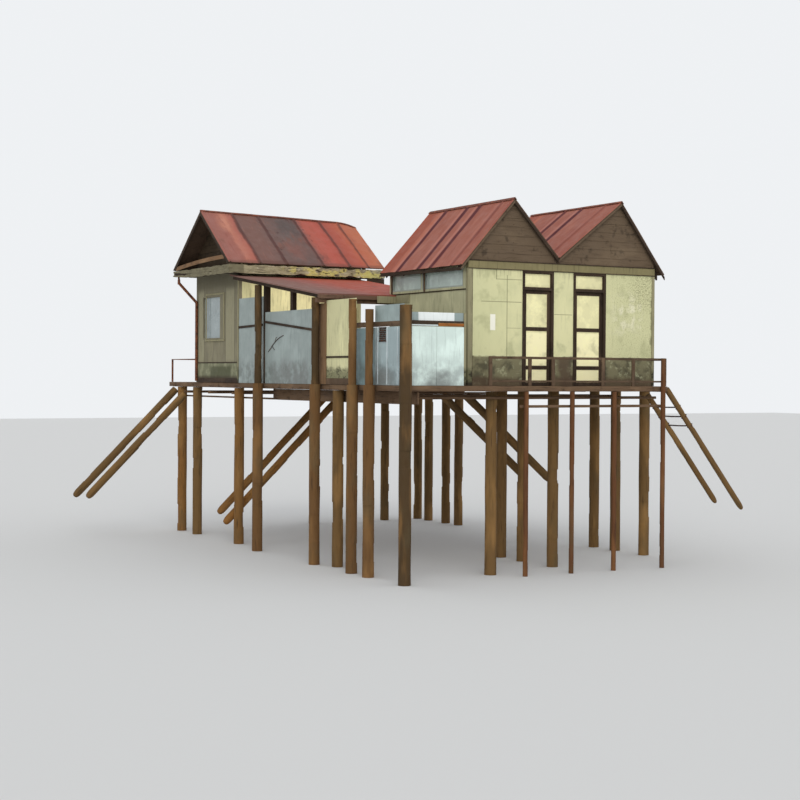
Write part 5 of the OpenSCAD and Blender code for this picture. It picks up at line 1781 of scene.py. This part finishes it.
trims = {}
trims["facade"] = (
    ((2.236, 0.672, 5.0), (2.372, 0.699, 8.068), "trim"),
    ((2.222, 0.699, 5.0), (2.249, 0.775, 8.068), "trim"),
    ((2.372, 0.687, 5.0), (2.392, 0.699, 8.068), "darkz"),
    ((8.268, 0.675, 5.0), (8.358, 0.699, 8.068), "trim"),
    # painted shadow lines: the two dark strips under and over the band
    ((2.236, 0.662, 8.052), (8.358, 0.679, 8.076), "darkx"),
    ((2.236, 0.655, 8.262), (8.358, 0.679, 8.290), "darkx"),
)
trims["side"] = (
    ((2.224, 0.775, 7.505), (2.249, 4.77, 7.540), "darky"),
    ((2.228, 2.90, 7.54), (2.249, 2.99, 8.11), "railz"),
    ((2.224, 4.72, 7.54), (2.249, 4.80, 8.11), "railz"),
)
trims["end"] = (
    ((0.098, 11.76, 7.78), (0.120, 13.27, 7.84), "trim"),
    ((0.084, 11.74, 6.31), (0.120, 13.29, 6.365), "trim"),
    ((0.098, 13.19, 6.365), (0.120, 13.26, 7.78), "trim"),
    ((0.098, 11.77, 6.365), (0.120, 11.84, 7.78), "trim"),
    ((0.096, 10.632, 5.0), (0.120, 10.72, 8.335), "trim"),
    ((0.102, 10.72, 5.615), (0.120, 13.90, 5.65), "darky"),
    ((0.096, 10.72, 5.0), (0.120, 13.90, 5.14), "darky"),
)
trims["porch"] = (
    ((1.86, 10.590, 6.9), (2.03, 10.629, 8.19), "darkz"),
    ((0.085, 4.62, 5.0), (0.1195, 5.14, 7.24), "postz"),
    ((0.092, 2.90, 5.72), (0.1195, 4.62, 5.775), "darky"),
    ((0.094, 2.90, 5.0), (0.1195, 4.62, 5.17), "railz"),
    # a dark board under the end of the left eave beam: partly a hanging board, partly painted shade standing in for
    # the shadow band under the beam
    ((4.290, 10.060, 7.99), (4.910, 10.100, 8.338), "darkx"),
    ((0.122, 8.686, 5.0), (0.186, 8.826, 8.06), "darkz"),
    ((1.62, 4.478, 7.27), (2.245, 4.499, 7.47), "trim"),
    ((2.226, 3.75, 7.27), (2.249, 4.86, 7.50), "trim"),
)
makeBoards("facadeTrim", ("trim", "darkz", "darkx"), trims["facade"])
makeBoards("sideTrim", ("darky", "railz"), trims["side"])
makeBoards("endTrim", ("trim", "darky"), trims["end"])
makeBoards("porchTrim", ("darkz", "railz", "postz", "darky", "darkx", "trim"), trims["porch"])

eaveShadeStrip = {
    "in": 0.015,        # from the sheet's edge
    "thick": 0.025,
    "high": 0.09,
    "up": 0.01,         # its top line over the sheet's lower edge
    "rise": 0.045,      # its rear end is this much higher than its front end
}


def makeEaveShadeStrip(values):
    # the dark board under the left eave of the right room: painted shade, standing in for the shadow line under the
    # eave
    build = bmesh.new()
    low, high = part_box("roof_left_slopes")
    front, rear = low.y + 0.06, high.y - 0.06
    across = (low.x + values["in"], low.x + values["in"] + values["thick"])
    top = low.z + values["up"]
    addVerge(build, (front, top), (rear, top + values["rise"]), across, values["high"], "y", 9.0, 0)
    makePiece("eaveShadeStrip", build, ("darky",), soften=30)


makeEaveShadeStrip(eaveShadeStrip)

outerRails = {
    "runs": (((5.14, 6.525), (8.66, 6.86)), ((8.84, 6.78), (10.625, 6.745))),
    "across": (0.094, 0.1195),
    "high": 0.075,
}


def makeOuterRails(values):
    build = bmesh.new()
    for index, (start, end) in enumerate(values["runs"]):
        addVerge(build, start, end, values["across"], values["high"], "y", 3.0 + index, 0)
    makePiece("outerRails", build, ("darky",), soften=30)


makeOuterRails(outerRails)

terrace = {
    "sheets": (
        ((0.1503, 0.1503, 5.0), (0.988, 0.1683, 6.50), "panel"),
        ((0.992, 0.1503, 5.0), (1.80, 0.1683, 6.50), "panel"),
        ((0.1203, 0.3003, 5.0), (0.1383, 1.84, 6.50), "sidePanel"),
        ((0.1203, 1.844, 5.0), (0.1383, 2.894, 6.50), "farPanel"),
    ),
    "lights": (
        ((0.1503, 0.1803, 6.64), (0.46, 0.1983, 6.86), "highPanel"),
        ((0.463, 0.1803, 6.64), (1.53, 0.1983, 6.86), "light"),
        ((1.533, 0.1803, 6.64), (1.80, 0.1983, 6.86), "highPanel"),
        ((0.1203, 0.3003, 6.64), (0.1383, 1.84, 7.07), "highPanel"),
        ((1.80, 0.1503, 5.0), (1.86, 0.2103, 6.86), "trim"),
    ),
    "ribs": ((0.62, 0.022), (1.16, 0.035), (1.66, 0.03)),
    "vent": ((1.24, 1.59), (6.14, 6.48), 7),
}


def makeTerrace(values):
    makeBoards("terraceSheets", ("panel", "sidePanel", "farPanel"), values["sheets"],
               ("terrace_screens",),
               cell=0.2, depth=0.0025)
    makeBoards("terraceLights", ("highPanel", "light", "trim"), values["lights"],
               ("terrace_lights",),
               cell=0.2, depth=0.0025)
    build = bmesh.new()
    for y, wide in values["ribs"]:
        addRough(build, (0.108, y, 5.02), (0.1215, y + wide, 6.49), y, 0.2, 0.002, 0)
    (start, end), (low, high), count = values["vent"]
    step = (high - low) / count
    for k in range(count):
        z = low + k * step
        rings = []
        for j in range(9):
            y = start + (end - start) * j / 8
            lift = 0.003 * noise.noise((y * 6, z * 5, 1.0))
            rings.append([Vector((0.100, y, z + lift)), Vector((0.121, y, z + step * 0.62 + lift)),
                          Vector((0.121, y, z + step * 0.86 + lift)),
                          Vector((0.096, y, z + step * 0.2 + lift))])
        capRings(build, rings, 1)
    for a, b in (((start - 0.02, low - 0.02), (end + 0.02, low)),
                 ((start - 0.02, high), (end + 0.02, high + 0.02))):
        addRough(build, (0.098, a[0], a[1]), (0.1215, b[0], b[1]), 4, 0.1, 0.002, 1)
    makePiece("panelRibs", build, ("rib", "hinge"), soften=30)


makeTerrace(terrace)


def addWire(build, points, radius, skin=0, sides=8):
    points = [Vector(p) for p in points]
    rings = []
    for k, at in enumerate(points):
        ahead = (points[min(k + 1, len(points) - 1)] - points[max(k - 1, 0)]).normalized()
        side = ahead.cross(Vector((1, 0, 0)) if abs(ahead.x) < 0.9 else Vector((0, 0, 1))).normalized()
        other = ahead.cross(side)
        rings.append([at + (side * math.cos(math.tau * j / sides) + other * math.sin(math.tau * j / sides)) * radius
                      for j in range(sides)])
    capRings(build, rings, skin)


hook = {
    "lines": (
        ((0.112, 8.45, 5.93), (0.106, 8.27, 6.03), (0.104, 8.13, 6.13), (0.104, 7.85, 6.27),
         (0.104, 7.62, 6.35), (0.110, 7.40, 6.40)),
        ((0.104, 8.16, 6.11), (0.104, 8.06, 6.02), (0.108, 7.98, 5.98)),
        ((0.104, 7.98, 6.20), (0.104, 7.93, 6.30), (0.108, 7.86, 6.36)),
    ),
    "radii": (0.010, 0.007, 0.007),
}


def makeHook(values):
    # the bent wire on the long screen
    build = bmesh.new()
    for line, radius in zip(values["lines"], values["radii"]):
        addWire(build, line, radius)
    makePiece("bentHook", build, ("hinge",), soften=60)


makeHook(hook)

pipe = {
    "straps": (5.35, 6.25, 7.15),
    "strapRadius": 0.043,
    "strapThick": 0.006,
    # up and back from the pipe's end
    "outlet": ((-0.06, 0.0), (0.0, 0.0), (0.06, 0.01), (0.12, 0.03), (0.17, 0.04)),
    "outletRadius": 0.034,
}


def pipeAt(low, high):
    # the middle of the rain pipe between two heights
    spots = [v.co for v in nodes["rain_pipe"].data.vertices if low <= v.co.z <= high]
    return [(min(v[a] for v in spots) + max(v[a] for v in spots)) / 2 for a in (0, 1)]


def makePipeParts(values):
    build = bmesh.new()
    low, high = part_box("rain_pipe")
    x, y = pipeAt(low.z, low.z + 0.2)
    for z in values["straps"]:
        turns = [math.tau * k / 18 for k in range(19)]
        addWire(build, [(x + math.cos(a) * values["strapRadius"],
                         y + math.sin(a) * values["strapRadius"], z) for a in turns],
                values["strapThick"])
    makePiece("pipeStraps", build, ("iron",), soften=60)
    build = bmesh.new()
    x, y = pipeAt(high.z - 0.03, high.z)
    addWire(build, [(x, y + back, high.z + up) for up, back in values["outlet"]], values["outletRadius"],
            0, 14)
    makePiece("pipeOutlet", build, ("rust",), soften=60)


makePipeParts(pipe)

beads = {"wide": 0.016, "proud": 0.014}


def makeBeads(name, node, body, values):
    # four beads round every pane
    build = bmesh.new()
    wide = values["wide"]
    for index, (low, high) in enumerate(boxesOf(node)):
        y, face = low.y - values["proud"], low.y - 0.001
        bars = (((low.x, low.z), (high.x, low.z + wide)), ((low.x, high.z - wide), (high.x, high.z)),
                ((low.x, low.z + wide), (low.x + wide, high.z - wide)),
                ((high.x - wide, low.z + wide), (high.x, high.z - wide)))
        for k, ((x1, z1), (x2, z2)) in enumerate(bars):
            addRough(build, (x1, y, z1), (x2, face, z2), index + 2 * k, 0.15, 0.002)
    makePiece(name, build, ("railz",), body=body, soften=30)


makeBeads("leftDoorBeads", "left_door_panes", "left_door", beads)
makeBeads("rightDoorBeads", "right_door_panes", "right_door", beads)
makeBeads("topLightBeads", "top_light_panes", "house", beads)

nails = {
    "gablePitch": 0.46,
    "deckPitch": 0.151,
    "radius": 0.008,
    "depth": 0.006,
    "jitter": 0.012,
}


def makeNails(values):
    pairs = []
    z = gables["bottom"]
    while z < 9.8:
        for a, b in gableSpan(z + 0.05):
            if b - a > 0.3:
                pairs.append(((a + 0.09, gables["front"] + 0.0015, z + 0.05),
                              (b - 0.09, gables["front"] + 0.0015, z + 0.05)))
        z += gables["boardHigh"]
    grow("gableNails", pairs, nailTree, {
        "Pitch": values["gablePitch"], "Radius": values["radius"], "Depth": values["depth"], "Turn": (math.pi / 2, 0, 0),
        "Jitter": values["jitter"], "Seed": 3, "Material": finishes["iron"]})
    low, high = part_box("deck_floor")
    pairs = []
    for y in (0.9, 2.2, 3.6, 5.0, 6.4, 7.8, 9.2, 10.6, 12.0, 13.4, 14.8, 16.2):
        end = 8.3 if y < 2.7 else high.x - 0.03
        pairs.append(((low.x + 0.05, y, high.z - 0.005), (end, y, high.z - 0.005)))
    grow("deckNails", pairs, nailTree, {
        "Pitch": values["deckPitch"], "Radius": values["radius"], "Depth": values["depth"], "Turn": (0, 0, 0),
        "Jitter": 0.004, "Seed": 5, "Material": finishes["iron"]})


makeNails(nails)
print("trims, terrace, wires, beads and nails done")

plain = {
    "end_wall": "endTan", "left_front_wall": "cream", "left_rear_wall": "tan",
    "end_window_frame": "tan", "end_window_pane": "endGlass", "left_gable": "gableInShade",
    "rain_pipe": "rust", "rear_railing": "rust", "porch_roof": "porchSheet", "porch_frame": "porchBeam",
    "porch_screens": "screen", "screen_rails": "darky",
    "bay_panel": "bay", "front_wall": "facade", "side_wall_left": "olive", "side_wall_right": "olive", "rear_wall": "olive",
    "strip_window_frame": "paleFrame", "strip_window_glass": "glass", "door_frames": "darkz",
    "top_light_panes": "doorPane", "left_door": "darkz", "left_door_panes": "doorPane",
    "right_door": "darkz", "right_door_panes": "doorPane", "front_gables": "gableBack", "front_band": "band",
}
for node, skin in plain.items():
    for holder in nodes[node].material_slots:
        holder.material = finishes[skin]
print("carried-over parts dressed")
